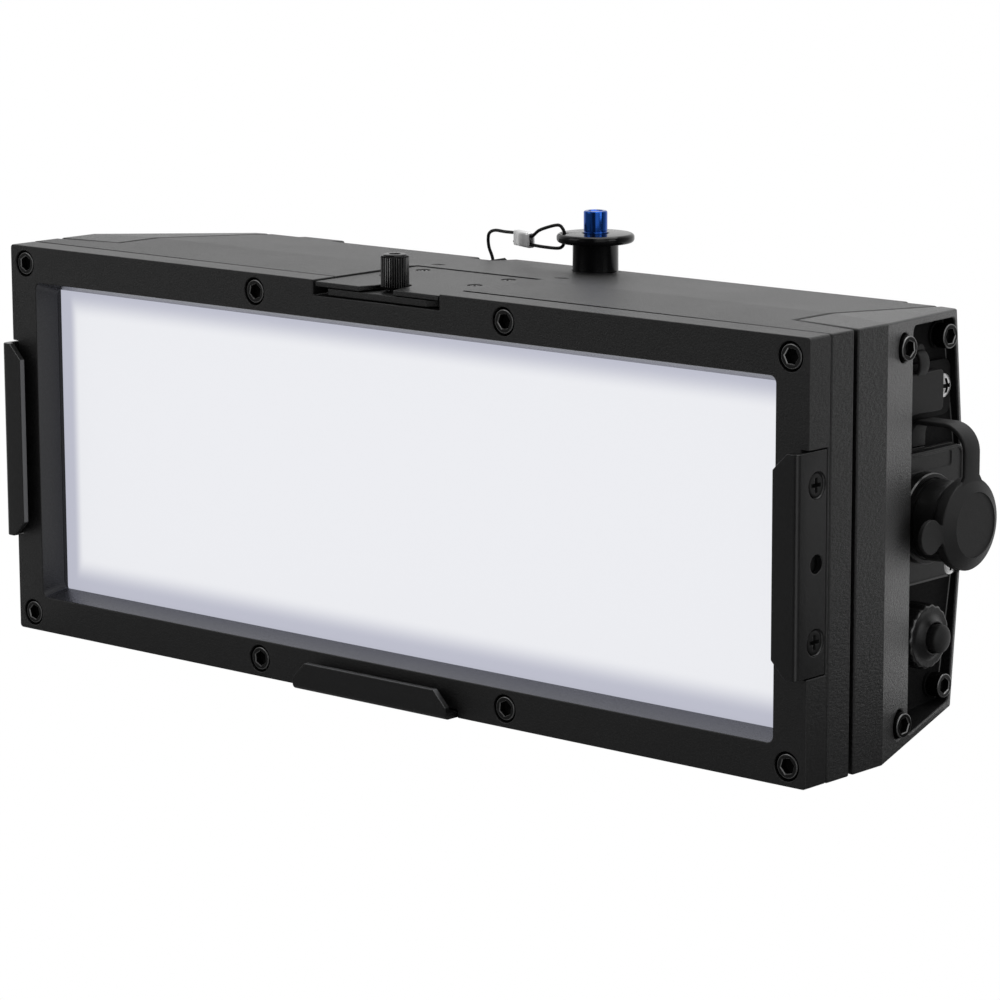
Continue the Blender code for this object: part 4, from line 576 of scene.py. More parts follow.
def coated(name, colour, scale, strength, roughness, speckle=0.5, specular=0.4, tint=(1.0, 1.0, 1.0)):
    values = {"Color": colour, "Grain Scale": scale, "Grain Strength": strength, "Speckle": speckle,
              "Roughness": roughness}
    return shaded_material(name, GRAIN, values, specular=specular, tint=tint)


def machined(name, colour, roughness, metallic, strength=0.12, specular=0.5):
    return shaded_material(name, TURNING, {"Color": colour, "Strength": strength, "Roughness": roughness},
                           metallic=metallic, specular=specular)


FRAME_PAINT = coated("frame_powder_coat", (0.007, 0.007, 0.0072), 1700.0, 0.45, 0.37, 1.0, 0.5)
# Painted light: the window's reveal is lighter, glossier and bluer than the frame, standing for the
# diffuser's light falling on it
REVEAL_LIGHT_COAT = coated("window_reveal_painted_light", (0.02, 0.02, 0.023), 1700.0, 0.3, 0.24, 0.8, 0.75,
                      (0.9, 0.92, 1.0))
HOUSING_PAINT = coated("housing_powder_coat", (0.008, 0.008, 0.0082), 1500.0, 0.85, 0.38, 1.5, 0.5)
CAP_PAINT = coated("end_cap_powder_coat", (0.008, 0.008, 0.0082), 1500.0, 0.8, 0.31, 1.5, 0.5)
# Painted shade: the connector bays' coat is the same black with very little gloss and more roughness, so the
# bays read darker than the end caps around them
BAY_SHADE_COAT = coated("bay_floor_painted_shade", (0.009, 0.009, 0.0092), 1300.0, 0.5, 0.6, 0.8, 0.065)
PLATE_BLACK = coated("moulded_plate", (0.008, 0.008, 0.0082), 2200.0, 0.2, 0.5, 0.3, 0.06)
CLIP_PAINT = coated("clip_powder_coat", (0.007, 0.007, 0.0072), 2000.0, 0.18, 0.24, 0.8, 0.5)
RUBBER = coated("moulded_rubber", (0.012, 0.012, 0.0122), 2600.0, 0.2, 0.55, 0.3, 0.35)
PLASTIC = coated("moulded_nylon", (0.009, 0.009, 0.0092), 2200.0, 0.2, 0.36, 0.3, 0.4)
SINK_BLACK = coated("anodised_extrusion", (0.012, 0.012, 0.0125), 900.0, 0.2, 0.42, 0.3)
SCREW_BLACK = machined("black_oxide_steel", (0.035, 0.035, 0.035), 0.32, 0.9)
SIDE_SCREW_BLACK = machined("oiled_oxide_steel", (0.018, 0.018, 0.018), 0.32, 0.9)
# Painted highlight: a mid-grey metal on thin edges, rims and borders (clip lips, bay corners, coupling ring,
# inlet border, reset nut), standing for the soft highlights that light lays along them
SOFT_HIGHLIGHT = machined("painted_soft_highlight", (0.11, 0.11, 0.11), 0.34, 0.9)
# Painted highlight: a brighter grey metal on screw rims, socket mouths, knob crests and the latch cover's
# screw heads, standing for the bright lines that light draws on them
EDGE_HIGHLIGHT = machined("painted_highlight_metal", (0.22, 0.22, 0.22), 0.3, 0.9)
# Painted shade: near-black for screw sockets and cross recesses, where shade falls inside the hollow
RECESS_SHADE = machined("painted_recess_shade", (0.003, 0.003, 0.003), 0.6, 0.0, 0.1, 0.1)
KNOB_BLACK = machined("knob_black_anodised", (0.016, 0.016, 0.016), 0.24, 0.9)
PIN_BLACK = machined("pin_black_anodised", (0.003, 0.003, 0.0034), 0.12, 0.0, 0.1, 0.26)
PIN_BLUE = machined("pin_blue_anodised", (0.016, 0.085, 0.40), 0.12, 0.95, 0.05)
BRIGHT_STEEL = machined("bright_steel", (0.75, 0.75, 0.75), 0.3, 0.9)
CRIMP_STEEL = machined("crimped_steel", (0.82, 0.82, 0.82), 0.3, 0.6, 0.05)
WIRE_BLACK = coated("coated_wire_rope", (0.003, 0.003, 0.003), 3000.0, 0.2, 0.4, 0.3, 0.08)
CHAMBER_WHITE = coated("diffuse_white", (0.82, 0.82, 0.8), 900.0, 0.15, 0.6, 0.05)
DISPLAY_BLACK = coated("display_gloss", (0.006, 0.007, 0.009), 300.0, 0.02, 0.12, 0.1, 0.5)


def build_diffuser_material():
    """Opal sheet glowing from behind: even light in the middle, a cool falloff along the edges."""
    material, tree, shader = new_material("opal_diffuser")
    point = object_point(tree)
    x, _, z = axes_of(tree, point)
    dark, full = 0.0035, 0.0115
    side_dark, side_full = 0.003, 0.007
    rounding = 0.004
    side = spread(tree, x, side_dark - WINDOW_HALF_W, side_full - WINDOW_HALF_W, dark, full, clamp=False)
    rise = maths(tree, "ABSOLUTE", maths(tree, "SUBTRACT", z, ORIGIN.z))
    nearest = tree.nodes.new("ShaderNodeMath")
    nearest.operation = "SMOOTH_MIN"
    for socket, value in zip(nearest.inputs, (side, maths(tree, "SUBTRACT", WINDOW_HALF_H, rise), rounding)):
        supply(tree, socket, value)
    glow = spread(tree, nearest.outputs[0], dark, full, 0.0, 1.0, True)
    edge_colour = (0.50, 0.51, 0.60)
    middle_colour = (0.84, 0.848, 0.882)
    fleck = noise(tree, point, 2400.0, 2.0, 0.5)
    shader.inputs["Base Color"].default_value = (0.1, 0.1, 0.105, 1.0)
    tree.links.new(mix_colour(tree, glow, edge_colour, middle_colour), shader.inputs["Emission Color"])
    shader.inputs["Emission Strength"].default_value = 0.93
    tree.links.new(spread(tree, fleck, 0.0, 1.0, 0.5, 0.62), shader.inputs["Roughness"])
    tree.links.new(bump(tree, fleck, 0.05, 0.0001), shader.inputs["Normal"])
    shader.inputs["Specular IOR Level"].default_value = 0.1
    return material


DIFFUSER = build_diffuser_material()


# Screws

def cap_screw(name, location, rotation, length, node, finish=SCREW_BLACK):
    """Socket head cap screw along -Z: knurled head, rounded rim and chamfered hexagon socket."""
    each = 6
    count = SCREW_KNURLS * each
    head, rim, chamfer = SCREW_HEAD_RADIUS, 0.0003, 0.0002
    knurled = waved(head, SCREW_KNURL_DEPTH, SCREW_KNURLS, each)
    shank = circle(SCREW_SHANK_RADIUS, count)
    under = -SCREW_HEAD_HEIGHT
    sections = [(shank, under - length), (shank, under), (circle(head - chamfer, count), under),
                (knurled, under + chamfer), (knurled, -rim - 2 * chamfer)]
    sections += circles(soft_edge(head - SCREW_KNURL_DEPTH, 0, rim, 1), count)
    mouth, socket = hexagon(SCREW_SOCKET_MOUTH, count), hexagon(SCREW_SOCKET, count)
    bottom = -SCREW_SOCKET_DEPTH
    sections += [(circle(SCREW_SOCKET_MOUTH * 0.62, count), 0), (mouth, -0.00002), (socket, -0.00025),
                 (socket, bottom), (circle(SCREW_SOCKET * 0.2, count), bottom - 0.0005)]
    item = loft(name, sections, "z", location=location, rotation=rotation)
    keep(item, finish, "panel", "screw_black", node)

    def is_highlit_edge(face):
        reach, z = math.hypot(face.center.x, face.center.y), face.center.z
        return z > -rim and (reach > head - rim - chamfer or -0.0002 < z < -0.00003)

    def is_socket(face):
        reach = math.hypot(face.center.x, face.center.y)
        return reach < SCREW_SOCKET * 0.6 and under < face.center.z < -0.0003

    # Painted highlight on the head's rim and on the socket's mouth
    paint(item, EDGE_HIGHLIGHT, is_highlit_edge)
    # Painted shade: the hexagon socket's walls and floor are near-black
    paint(item, RECESS_SHADE, is_socket)


def cross_screw(name, radius, location, rotation, material, slot, dome=0.0):
    """Countersunk or low domed head with a cross recess, facing +Z of its own frame."""
    chamfer = 0.00012
    profile = [(radius * 0.45, -radius * 0.55), (radius, -0.0003), (radius, -chamfer)]
    if not dome:
        profile.append((radius - chamfer, 0.0))
    steps = 5
    for step in range(1, steps + 1):
        share = step / steps
        profile.append(((radius - chamfer) * (1 - share * 0.999), dome * math.sin(share * math.pi / 2)))
    item = turned(name, profile, "z", location, 48, 50, rotation)
    reach, half = radius * 0.62, radius * 0.17
    arms = [(reach, half), (half, half), (half, reach)]
    for _ in range(3):
        arms += [(-v, u) for u, v in arms[-3:]]
    narrow = [(u * 0.6, v * 0.6) for u, v in arms]
    recess = loft(name + "_recess", [(arms, dome + PAST), (arms, 0), (narrow, -radius * 0.4)], "z",
                  location=location, rotation=rotation)
    carve(item, [recess])
    keep(item, material, "panel", slot)

    def is_recess(face):
        inside_arms = math.hypot(face.center.x, face.center.y) < reach
        return inside_arms and (face.normal.z < 0.6 or face.center.z < -0.0001)

    # Painted shade inside the cross recess
    paint(item, RECESS_SHADE, is_recess)


# Front frame and clips

FRONT_SCREWS = [(x, row * SCREW_ROW_Z) for row in (1, -1)
                for x in (-SCREW_SIDE_X, -SCREW_INNER_X, SCREW_INNER_X, SCREW_SIDE_X)]
CLIPS = {"right": ((HALF_W, 0, 0), (0, 0, 0)),
         "left": ((-HALF_W, 0, 0), (0, math.pi, 0)),
         "bottom": ((0, 0, -HALF_H), (0, math.pi / 2, 0))}


def build_front_frame():
    window = rounded(WINDOW_HALF_W, WINDOW_HALF_H, WINDOW_RADIUS)
    throat = rounded(WINDOW_HALF_W, THROAT_HALF_H, WINDOW_RADIUS, 6, (0, THROAT_SHIFT))
    rim = rounded(HALF_W, HALF_H, CORNER_RADIUS)
    sections = [(throat, FRAME_DEPTH), (window, 0), (rim, 0), (rim, FRAME_DEPTH)]
    item = loft("front_frame_casting", sections, "y", cyclic=True)
    through = FRAME_DEPTH + PAST
    bore = 0.0022
    profile = [(COUNTERBORE_RADIUS, -PAST), (COUNTERBORE_RADIUS, COUNTERBORE_DEPTH),
               (bore, COUNTERBORE_DEPTH), (bore, through)]
    cutters = [turned("counterbore", profile, "y", (x, 0, z), 48) for x, z in FRONT_SCREWS]
    cutters.append(block("latch_notch", (-LATCH_HALF, -PAST, LATCH_FLOOR),
                         (LATCH_HALF, through, HALF_H + PAST)))
    half = CLIP_LENGTH / 2 + SEAM
    outline = box_outline(-CLIP_SHEET - SEAM, PAST, -PAST, CLIP_PLATE_BACK + SEAM)
    for location, rotation in CLIPS.values():
        cutters.append(prism("clip_pocket", outline, -half, half, "z", location, rotation))
    carve(item, cutters, edge=FRAME_EDGE)
    keep(item, FRAME_PAINT, "panel", "frame_paint", "front_frame")

    def is_reveal(face):
        point = item_point(item, face)
        within_width = abs(point.x) < WINDOW_HALF_W - PAST
        return within_width and abs(point.z) < WINDOW_HALF_H + 0.0002 and point.y > 0.0001

    # Painted light: the reveal's faces take the lighter, bluer coat for the diffuser's light
    paint(item, REVEAL_LIGHT_COAT, is_reveal)
    for number, (x, z) in enumerate(FRONT_SCREWS):
        turn = (math.pi / 2, math.radians(11 * number), 0)
        cap_screw(f"frame_screw_{number + 1}", (x, SEAM, z), turn, 0.007, f"front_screw_{number + 1}")


def build_clip(side):
    location, rotation = CLIPS[side]
    half = CLIP_LENGTH / 2
    steps = 8
    outer = [(-CLIP_BEND * (1 - math.sin(turn)), -CLIP_REACH + CLIP_BEND * (1 - math.cos(turn)))
             for turn in (math.radians(90 * step / steps) for step in range(steps + 1))]
    section = [(-CLIP_LIP, -CLIP_REACH)] + outer + [
        (0, CLIP_PLATE_BACK), (-CLIP_SHEET, CLIP_PLATE_BACK), (-CLIP_SHEET, -CLIP_REACH + CLIP_SHEET),
        (-CLIP_LIP, -CLIP_REACH + CLIP_SHEET)]
    item = prism(f"clip_{side}_sheet", section, -half, half, "z", location, rotation)
    cutters = []
    for end in (1, -1):
        corner = [(-CLIP_LIP - PAST, end * (half - CLIP_CHAMFER - PAST)),
                  (-CLIP_LIP + CLIP_CHAMFER + PAST, end * (half + PAST)),
                  (-CLIP_LIP - PAST, end * (half + PAST))]
        cutters.append(prism("corner", corner, -CLIP_REACH - PAST, -CLIP_REACH + CLIP_SHEET + PAST, "y",
                             location, rotation))
    frame_turn = Matrix.Translation(Vector(location)) @ Matrix.Rotation(rotation[1], 4, "Y")

    def hole(z, profile):
        rings = [(circle(radius, 48, (CLIP_SCREW_Y, z)), t) for radius, t in profile]
        return loft("hole", rings, "x", location=location, rotation=rotation)

    for end in (1, -1):
        cutters.append(hole(end * CLIP_SCREW_Z, [(0.0021, -CLIP_SHEET - PAST), (0.0021, -CLIP_SHEET * 0.8),
                                                 (CLIP_SCREW_HEAD, -0.0003), (CLIP_SCREW_HEAD, PAST)]))
    cutters.append(hole(0, [(CLIP_HOLE_RADIUS, -CLIP_SHEET - PAST), (CLIP_HOLE_RADIUS, PAST)]))
    carve(item, cutters, edge=SHEET_EDGE, segments=2)
    keep(item, CLIP_PAINT, "panel", "clip_paint", f"clip_{side}")
    # Painted highlight along the lip's edge faces
    paint(item, SOFT_HIGHLIGHT, lambda face: face.normal.x < -0.5
          and face.center.y < -CLIP_REACH + CLIP_SHEET + 0.0002)
    for number, end in enumerate((1, -1)):
        spot = frame_turn @ Vector((-0.0004, CLIP_SCREW_Y, end * CLIP_SCREW_Z))
        facing = (frame_turn.to_3x3() @ Vector((1, 0, 0))).to_track_quat("Z", "Y").to_euler()
        cross_screw(f"clip_screw_{side}_{number + 1}", CLIP_SCREW_HEAD - 0.00035, tuple(spot), tuple(facing),
                    SCREW_BLACK, "screw_black")


# Housing and end caps

def body_side(front, rear, apex):
    rear_z = HALF_H - (rear - CREASE_BACK) * TOP_SLOPE
    return [(front, -HALF_H), (CREASE_BACK, -HALF_H), (rear, -rear_z), (apex, 0), (rear, rear_z),
            (CREASE_BACK, HALF_H), (front, HALF_H)]


def top_at(depth):
    return HALF_H - max(0.0, depth - CREASE_BACK) * TOP_SLOPE


def build_housing():
    plan = [(-HALF_W, RING_FRONT), (HALF_W, RING_FRONT), (HALF_W, RING_BACK), (CENTRE_HALF, RING_EDGE),
            (CENTRE_HALF, REAR_APEX + PAST), (-CENTRE_HALF, REAR_APEX + PAST), (-CENTRE_HALF, RING_EDGE),
            (-HALF_W, RING_BACK)]
    tall, wide = HALF_H + PAST, HALF_W + PAST
    item = prism("housing_casting", plan, -tall, tall, "z")
    side = body_side(0, REAR_BACK, REAR_APEX)
    profile = loft("side_profile", [(side, -wide), (side, wide)], "x", sharp=2)
    tool = item.modifiers.new("profile", "BOOLEAN")
    tool.operation = "INTERSECT"
    tool.object = profile
    slope = (APEX_BACK - CORNER_BACK) / (HALF_H - REAR_DROP)
    behind = REAR_APEX + 2 * PAST
    shoulder_y = APEX_BACK - tall * slope
    shoulder = [(shoulder_y, -tall), (behind, -tall), (behind, tall), (shoulder_y, tall), (APEX_BACK, 0)]
    cutters = [prism("rear_step", shoulder, sign * REAR_HALF, sign * wide, "x") for sign in (1, -1)]
    rebate_w, rebate_h, ledge = 0.1441, 0.0513, 0.0142
    cutters.append(prism("rebate", rounded(rebate_w, rebate_h, WINDOW_RADIUS), 0, ledge, "y"))
    neck_w, waist_w, throat_h = 0.1416, 0.1238, 0.0498
    waist_front, waist_back = 0.026, 0.0403
    neck, waist = rounded(neck_w, throat_h, WINDOW_RADIUS), rounded(waist_w, throat_h, WINDOW_RADIUS)
    cutters.append(loft("throat", [(neck, 0), (neck, ledge + SEAM), (waist, waist_front),
                                   (waist, waist_back)], "y"))
    room_w, room_h, room_front = 0.125, 0.053, 0.0381
    room = rounded(room_w, room_h, WINDOW_RADIUS)
    cutters.append(prism("room", room, room_front, REAR_APEX + PAST, "y"))
    mouth_left, mouth_low = -0.0998, -0.012
    cutters.append(block("control_mouth", (mouth_left, CONTROL_BACK, mouth_low),
                         (CONTROL_RIGHT_WALL, REAR_APEX, HALF_H + PAST)))
    floor = top_at(CONTROL_BACK) - GROOVE_DEPTH
    groove = [(GROOVE_LEFT, floor), (GROOVE_RIGHT, floor), (CONTROL_RIGHT_WALL, floor + GROOVE_DEPTH),
              (CONTROL_RIGHT_WALL, HALF_H + PAST), (GROOVE_LEFT, HALF_H + PAST)]
    cutters.append(prism("groove", groove, CONTROL_BACK - GROOVE_LENGTH, REAR_APEX, "y"))
    cover_floor = COVER_TOP - COVER_THICK - SEAM
    pockets = [block("cover_pocket", (-LATCH_HALF, 0, cover_floor),
                     (LATCH_HALF, LATCH_LENGTH + SEAM, HALF_H + PAST)),
               block("gate_channel", (-GATE_HALF - SEAM, 0, LATCH_FLOOR),
                     (GATE_HALF + SEAM, GATE_BACK + SEAM, cover_floor + PAST))]
    tapped = [(0.0017, -0.005), (0.0017, -0.0005), (0.0024, 0.0002), (0.0024, 0.002)]
    for x in (-TAPPED_X, TAPPED_X):
        pockets.append(turned("tapped", tapped, "z", (x, TAPPED_Y, top_at(TAPPED_Y)), SMALL))
    bore, seat = PIN_SHANK_RADIUS + SEAM, PIN_NECK_RADIUS + SEAM
    pockets.append(turned("pin_seat", [(bore, -0.02), (bore, 0), (seat, 0), (seat, 0.003)], "z", PIN_SPOT))
    carve(item, cutters, edge=CAST_EDGE)
    sharpen_creases(item)
    carve(item, pockets, edge=0.00012, segments=2, even=True)
    bpy.data.objects.remove(profile)
    keep(item, HOUSING_PAINT, "panel", "housing_paint", "main_housing")


def bay_outline(inset):
    slope = REAR_DROP / (CORNER_BACK - HIP_BACK)
    front_z = HALF_H - (BAY_FRONT - HIP_BACK) * slope - inset
    rear_z = HALF_H - (CORNER_BACK - HIP_BACK) * slope - inset
    rear = CORNER_BACK - inset * 0.85
    return round_corners([(BAY_FRONT, -front_z), (rear, -rear_z), (APEX_BACK - inset, 0), (rear, rear_z),
                          (BAY_FRONT, front_z)], BAY_RADIUS)


def inside(outline, u, v, slack=0.0004):
    """Whether a point lies within a convex outline, or just outside its edge."""
    turns = []
    for (au, av), (bu, bv) in zip(outline, outline[1:] + outline[:1]):
        span = math.dist((au, av), (bu, bv))
        turns.append(((bu - au) * (v - av) - (bv - av) * (u - au)) / span > -slack)
    return all(turns)


def build_end_cap(side, sign):
    inner = CENTRE_HALF + 0.0013
    corner_x = HALF_W - (CORNER_BACK - HIP_BACK) * SIDE_DROP
    apex_x = HALF_W - (APEX_BACK - HIP_BACK) * SIDE_DROP
    rear_z = HALF_H - REAR_DROP
    points = [(HALF_W, RING_BACK + 0.0016, HALF_H), (inner, RING_EDGE + SEAM, HALF_H),
              (HALF_W, HIP_BACK, HALF_H), (inner, CREASE_BACK, HALF_H),
              (corner_x, CORNER_BACK, rear_z - SEAM / 2), (inner, CORNER_BACK, rear_z)]
    mesh = bpy.data.meshes.new("end_cap_casting_" + side)
    build = bmesh.new()
    for x, y, z in points:
        for up in (1, -1):
            build.verts.new((sign * x, y, up * z))
    for x in (apex_x, inner):
        build.verts.new((sign * x, APEX_BACK, 0))
    hull = bmesh.ops.convex_hull(build, input=build.verts)
    loose = [part for part in hull["geom_interior"] + hull["geom_unused"]
             if isinstance(part, bmesh.types.BMVert)]
    bmesh.ops.delete(build, geom=loose, context="VERTS")
    bmesh.ops.dissolve_limit(build, angle_limit=math.radians(0.5), verts=build.verts, edges=build.edges)
    bmesh.ops.recalc_face_normals(build, faces=build.faces)
    build.to_mesh(mesh)
    build.free()
    mesh.shade_smooth()
    mesh.set_sharp_from_angle(angle=math.radians(2))
    item = add_item("end_cap_casting_" + side, mesh)
    out = sign * (HALF_W + PAST)
    outline = bay_outline(BAY_WALL)
    cutters = [prism("bay", outline, sign * BAY_FLOOR, out, "x")]
    bosses = []
    bore, bore_depth = 0.0022, 0.006
    for up in (1, -1):
        for row, y, z, seat in SIDE_SCREWS:
            spot = (0, y, up * z)
            if row == "rear":
                stem = [(SIDE_BOSS_RADIUS, sign * (BAY_FLOOR - PAST)), (SIDE_BOSS_RADIUS, sign * seat)]
                bosses.append(turned(f"end_cap_boss_{side}_{len(bosses)}", stem, "x", spot, 48))
            else:
                pocket = [(bore, sign * (seat - bore_depth)), (bore, sign * seat),
                          (COUNTERBORE_RADIUS, sign * seat), (COUNTERBORE_RADIUS, out)]
                cutters.append(turned("seat", pocket, "x", spot, 48))
    carve(item, cutters, edge=CAST_EDGE)
    keep(item, CAP_PAINT, "panel", "cap_paint", "end_cap_" + side)
    lip = 0.001

    def in_bay(face):
        point = item_point(item, face)
        deep = HALF_W - max(point.y - HIP_BACK, 0.0) * SIDE_DROP - abs(point.x)
        return deep > lip and abs(point.x) > BAY_FLOOR - PAST and inside(outline, point.y, point.z)

    # Painted shade on the bay's floor and walls
    paint(item, BAY_SHADE_COAT, in_bay)
    # Painted highlight along the fillet where the bay floor meets its rear wall
    paint(item, SOFT_HIGHLIGHT, lambda face: in_bay(face) and face.normal.y < -0.4
          and sign * face.normal.x > 0.4)
    for boss in bosses:
        # Painted shade: the bosses in the bay take the bay's darker coat
        keep(boss, BAY_SHADE_COAT, "panel", "cap_paint")
    for up, level in ((1, "top"), (-1, "bottom")):
        for row, y, z, seat in SIDE_SCREWS:
            spin = math.radians(17 * (1 + up) + (25 if row == "rear" else 4))
            turn = Matrix.Rotation(sign * math.pi / 2, 4, "Y") @ Matrix.Rotation(spin, 4, "Z")
            spot = (sign * (seat + SCREW_HEAD_HEIGHT + SEAM), y, up * z)
            cap_screw(f"cap_screw_{side}_{level}_{row}", spot, tuple(turn.to_euler()), 0.002,
                      f"side_screw_{side}_{level}_{row}", SIDE_SCREW_BLACK)


# Latch

def build_latch():
    left, front, back = LATCH_HALF - COVER_SIDE_GAP, SEAM, LATCH_LENGTH + SEAM - COVER_BACK_GAP
    slot, mouth = COVER_SLOT_HALF, COVER_MOUTH_HALF
    steps = 24
    arc = [(-slot * math.cos(turn), KNOB_Y + slot * math.sin(turn))
           for turn in (math.pi * step / steps for step in range(steps + 1))]
    outline = [(-left, front), (-mouth, front), (-slot, COVER_MOUTH_BACK)] + arc + [
        (slot, COVER_MOUTH_BACK), (mouth, front), (left, front), (left, back), (-left, back)]
    cover = prism("latch_cover_plate", outline, COVER_TOP - COVER_THICK, COVER_TOP, "z")
    sink = [(0.0009, -0.0022), (0.0009, -0.0014), (0.0021, -0.0003), (0.0021, PAST)]
    cutters = [turned("sink", sink, "z", (x, y, COVER_TOP), SMALL) for x, y in COVER_SCREWS]
    carve(cover, cutters, edge=SHEET_EDGE, segments=2)
    keep(cover, FRAME_PAINT, "panel", "clip_paint", "latch_cover")
    # Painted highlight: the cover screws' heads are all in the bright highlight metal
    for number, (x, y) in enumerate(COVER_SCREWS):
        cross_screw(f"latch_cover_screw_{number + 1}", 0.0019, (x, y, COVER_TOP - 0.0003),
                    (0, 0, math.radians(37 * number)), EDGE_HIGHLIGHT, "screw_black", dome=0.0003)

    nose = 0.004
    low = LATCH_FLOOR + SEAM
    shape = [(nose - GATE_HALF, GATE_FRONT), (GATE_HALF - nose, GATE_FRONT), (GATE_HALF, GATE_FRONT + nose),
             (GATE_HALF, GATE_BACK), (-GATE_HALF, GATE_BACK), (-GATE_HALF, GATE_FRONT + nose)]
    gate = prism("latch_gate_plate", shape, low, low + GATE_THICK, "z")
    carve(gate, [drill(KNOB_STUD_RADIUS + SEAM, low - PAST, low + GATE_THICK + PAST, "z", (0, KNOB_Y, 0))],
          edge=SHEET_EDGE, segments=2)
    keep(gate, FRAME_PAINT, "latch_slide", "clip_paint", "latch_gate")

    each = 8
    count = KNOB_FLUTES * each
    grip = waved(KNOB_RADIUS, KNOB_FLUTE, KNOB_FLUTES, each, 0.7)
    foot, top = KNOB_FOOT - LATCH_FLOOR, KNOB_TOP - LATCH_FLOOR
    rim = KNOB_RADIUS - KNOB_FLUTE
    stem = [(KNOB_STUD_RADIUS, 0.0006), (KNOB_STUD_RADIUS, foot), (rim - 0.0002, foot), (rim, foot + 0.0002)]
    crown = [(rim, top - 0.0005), (rim - 0.0003, top - 0.0001), (rim - 0.0006, top), (0.0018, top),
             (0.0016, top - 0.0002), (0.0015, top - 0.0009), (0.0006, top - 0.0012)]
    sections = circles(stem, count) + [(grip, foot + 0.0006), (grip, top - 0.0009)] + circles(crown, count)
    knob = loft("latch_thumb_nut", sections, "z", location=(0, KNOB_Y, LATCH_FLOOR))
    keep(knob, KNOB_BLACK, "latch_nut", "knob_black", "latch_knob")

    def is_crest(face):
        reach = math.hypot(face.center.x, face.center.y)
        return foot + 0.0004 < face.center.z < top - 0.0006 and reach > KNOB_RADIUS - 0.00009

    # Painted highlight on the knurl's crests
    paint(knob, EDGE_HIGHLIGHT, is_crest)


# Pin and lanyard

def build_pin():
    """Ball-lock pin: shank, slim neck, glossy flange with rounded rims and a blue push button."""
    flange = PIN_FLANGE_Z - PIN_SEAT
    top = flange + PIN_FLANGE_THICK
    neck, wide, rim = PIN_NECK_RADIUS, PIN_FLANGE_RADIUS, 0.0011
    profile = [(PIN_SHANK_RADIUS - 0.001, -PIN_SHANK_LENGTH), (PIN_SHANK_RADIUS, -PIN_SHANK_LENGTH + 0.001),
               (PIN_SHANK_RADIUS, SEAM), (neck - 0.0004, SEAM), (neck, SEAM + 0.0004),
               (neck, flange - 0.0006), (neck + 0.0003, flange)]
    profile += [(r, 2 * flange + rim - t) for r, t in reversed(soft_edge(wide, flange + rim, rim, 1, 6))]
    profile += soft_edge(wide, top, rim, 1, 6)
    profile += [(PIN_BUTTON_RADIUS + 0.0007, top), (PIN_BUTTON_RADIUS + 0.0003, top - 0.0003),
                (PIN_BUTTON_RADIUS + 0.0003, top - 0.006)]
    handle = turned("pin_handle", profile, "z", PIN_SPOT, 96)
    carve(handle, [drill(PIN_EYE_RADIUS, flange - PAST, top + PAST, "z", (*PIN_EYE, PIN_SEAT))])
    keep(handle, PIN_BLACK, "pin", "pin_black", "lock_pin")
    height = PIN_BUTTON_TOP - PIN_SEAT
    radius = PIN_BUTTON_RADIUS
    button = [(radius, top - 0.0015), (radius, top + 0.0004), (radius - 0.0001, top + 0.0005),
              (radius - 0.0001, top + 0.0007), (radius, top + 0.0008)]
    button += soft_edge(radius, height, 0.0005, 1)
    button += [(radius - 0.0012, height), (radius - 0.0014, height - 0.0002), (0.0004, height - 0.0002)]
    item = turned("pin_push_button", button, "z", PIN_SPOT, 96)
    keep(item, PIN_BLUE, "pin_push", "pin_blue", "pin_button")


LANYARD_ROUTE = [
    (-0.0268, 0.0760, 0.0300), (-0.0272, 0.0760, 0.0220), (-0.0292, 0.0778, 0.0150),
    (-0.0320, 0.0820, 0.0122), (-0.0342, 0.0865, 0.0150), (-0.0355, 0.0895, 0.0240),
    (-0.0362, 0.0908, 0.0360), (-0.0364, 0.0912, 0.0480), (-0.0366, 0.0913, 0.0551),
    (-0.0390, 0.0922, 0.0590), (-0.0395, 0.0924, 0.0617), (-0.0386, 0.0921, 0.0635),
    (-0.0352, 0.0908, 0.0646), (-0.0294, 0.0887, 0.0648), (-0.0227, 0.0862, 0.0652),
    (-0.0182, 0.0845, 0.0652), (-0.0137, 0.0829, 0.0652), (-0.0099, 0.0815, 0.0672),
    (-0.0060, 0.0801, 0.0685), (-0.0004, 0.0783, 0.0699), (0.0024, 0.0774, 0.0699),
    (0.0042, 0.0769, 0.0682), (0.0043, 0.0769, 0.0664), (0.0036, 0.0771, 0.0645),
    (0.0012, 0.0778, 0.0633), (-0.0061, 0.0802, 0.0628), (-0.0137, 0.0829, 0.0626),
    (-0.0182, 0.0845, 0.0626), (-0.0238, 0.0866, 0.0626)]


def smooth_route(points, steps):
    """Smooth curve through a route's own points."""
    fine = []
    for i in range(len(points) - 1):
        before, here = points[max(i - 1, 0)], points[i]
        after, beyond = points[i + 1], points[min(i + 2, len(points) - 1)]
        for part in range(steps):
            t = part / steps
            fine.append(Vector([0.5 * (2 * b + (c - a) * t + (2 * a - 5 * b + 4 * c - d) * t * t
                                       + (3 * b - a - 3 * c + d) * t ** 3)
                                for a, b, c, d in zip(before, here, after, beyond)]))
    fine.append(Vector(points[-1]))
    return fine


def wire_mesh(name, points, radius, count=12):
    """Round wire along points; its cross-section is carried along without twisting."""
    rings = []
    side = Vector((1, 0, 0))
    for i, point in enumerate(points):
        ahead = (points[min(i + 1, len(points) - 1)] - points[max(i - 1, 0)]).normalized()
        side = (side - ahead * side.dot(ahead)).normalized()
        over = ahead.cross(side)
        rings.append([tuple(point + (side * math.cos(turn) + over * math.sin(turn)) * radius)
                      for turn in (2 * math.pi * step / count for step in range(count))])
    return skin(name, rings)


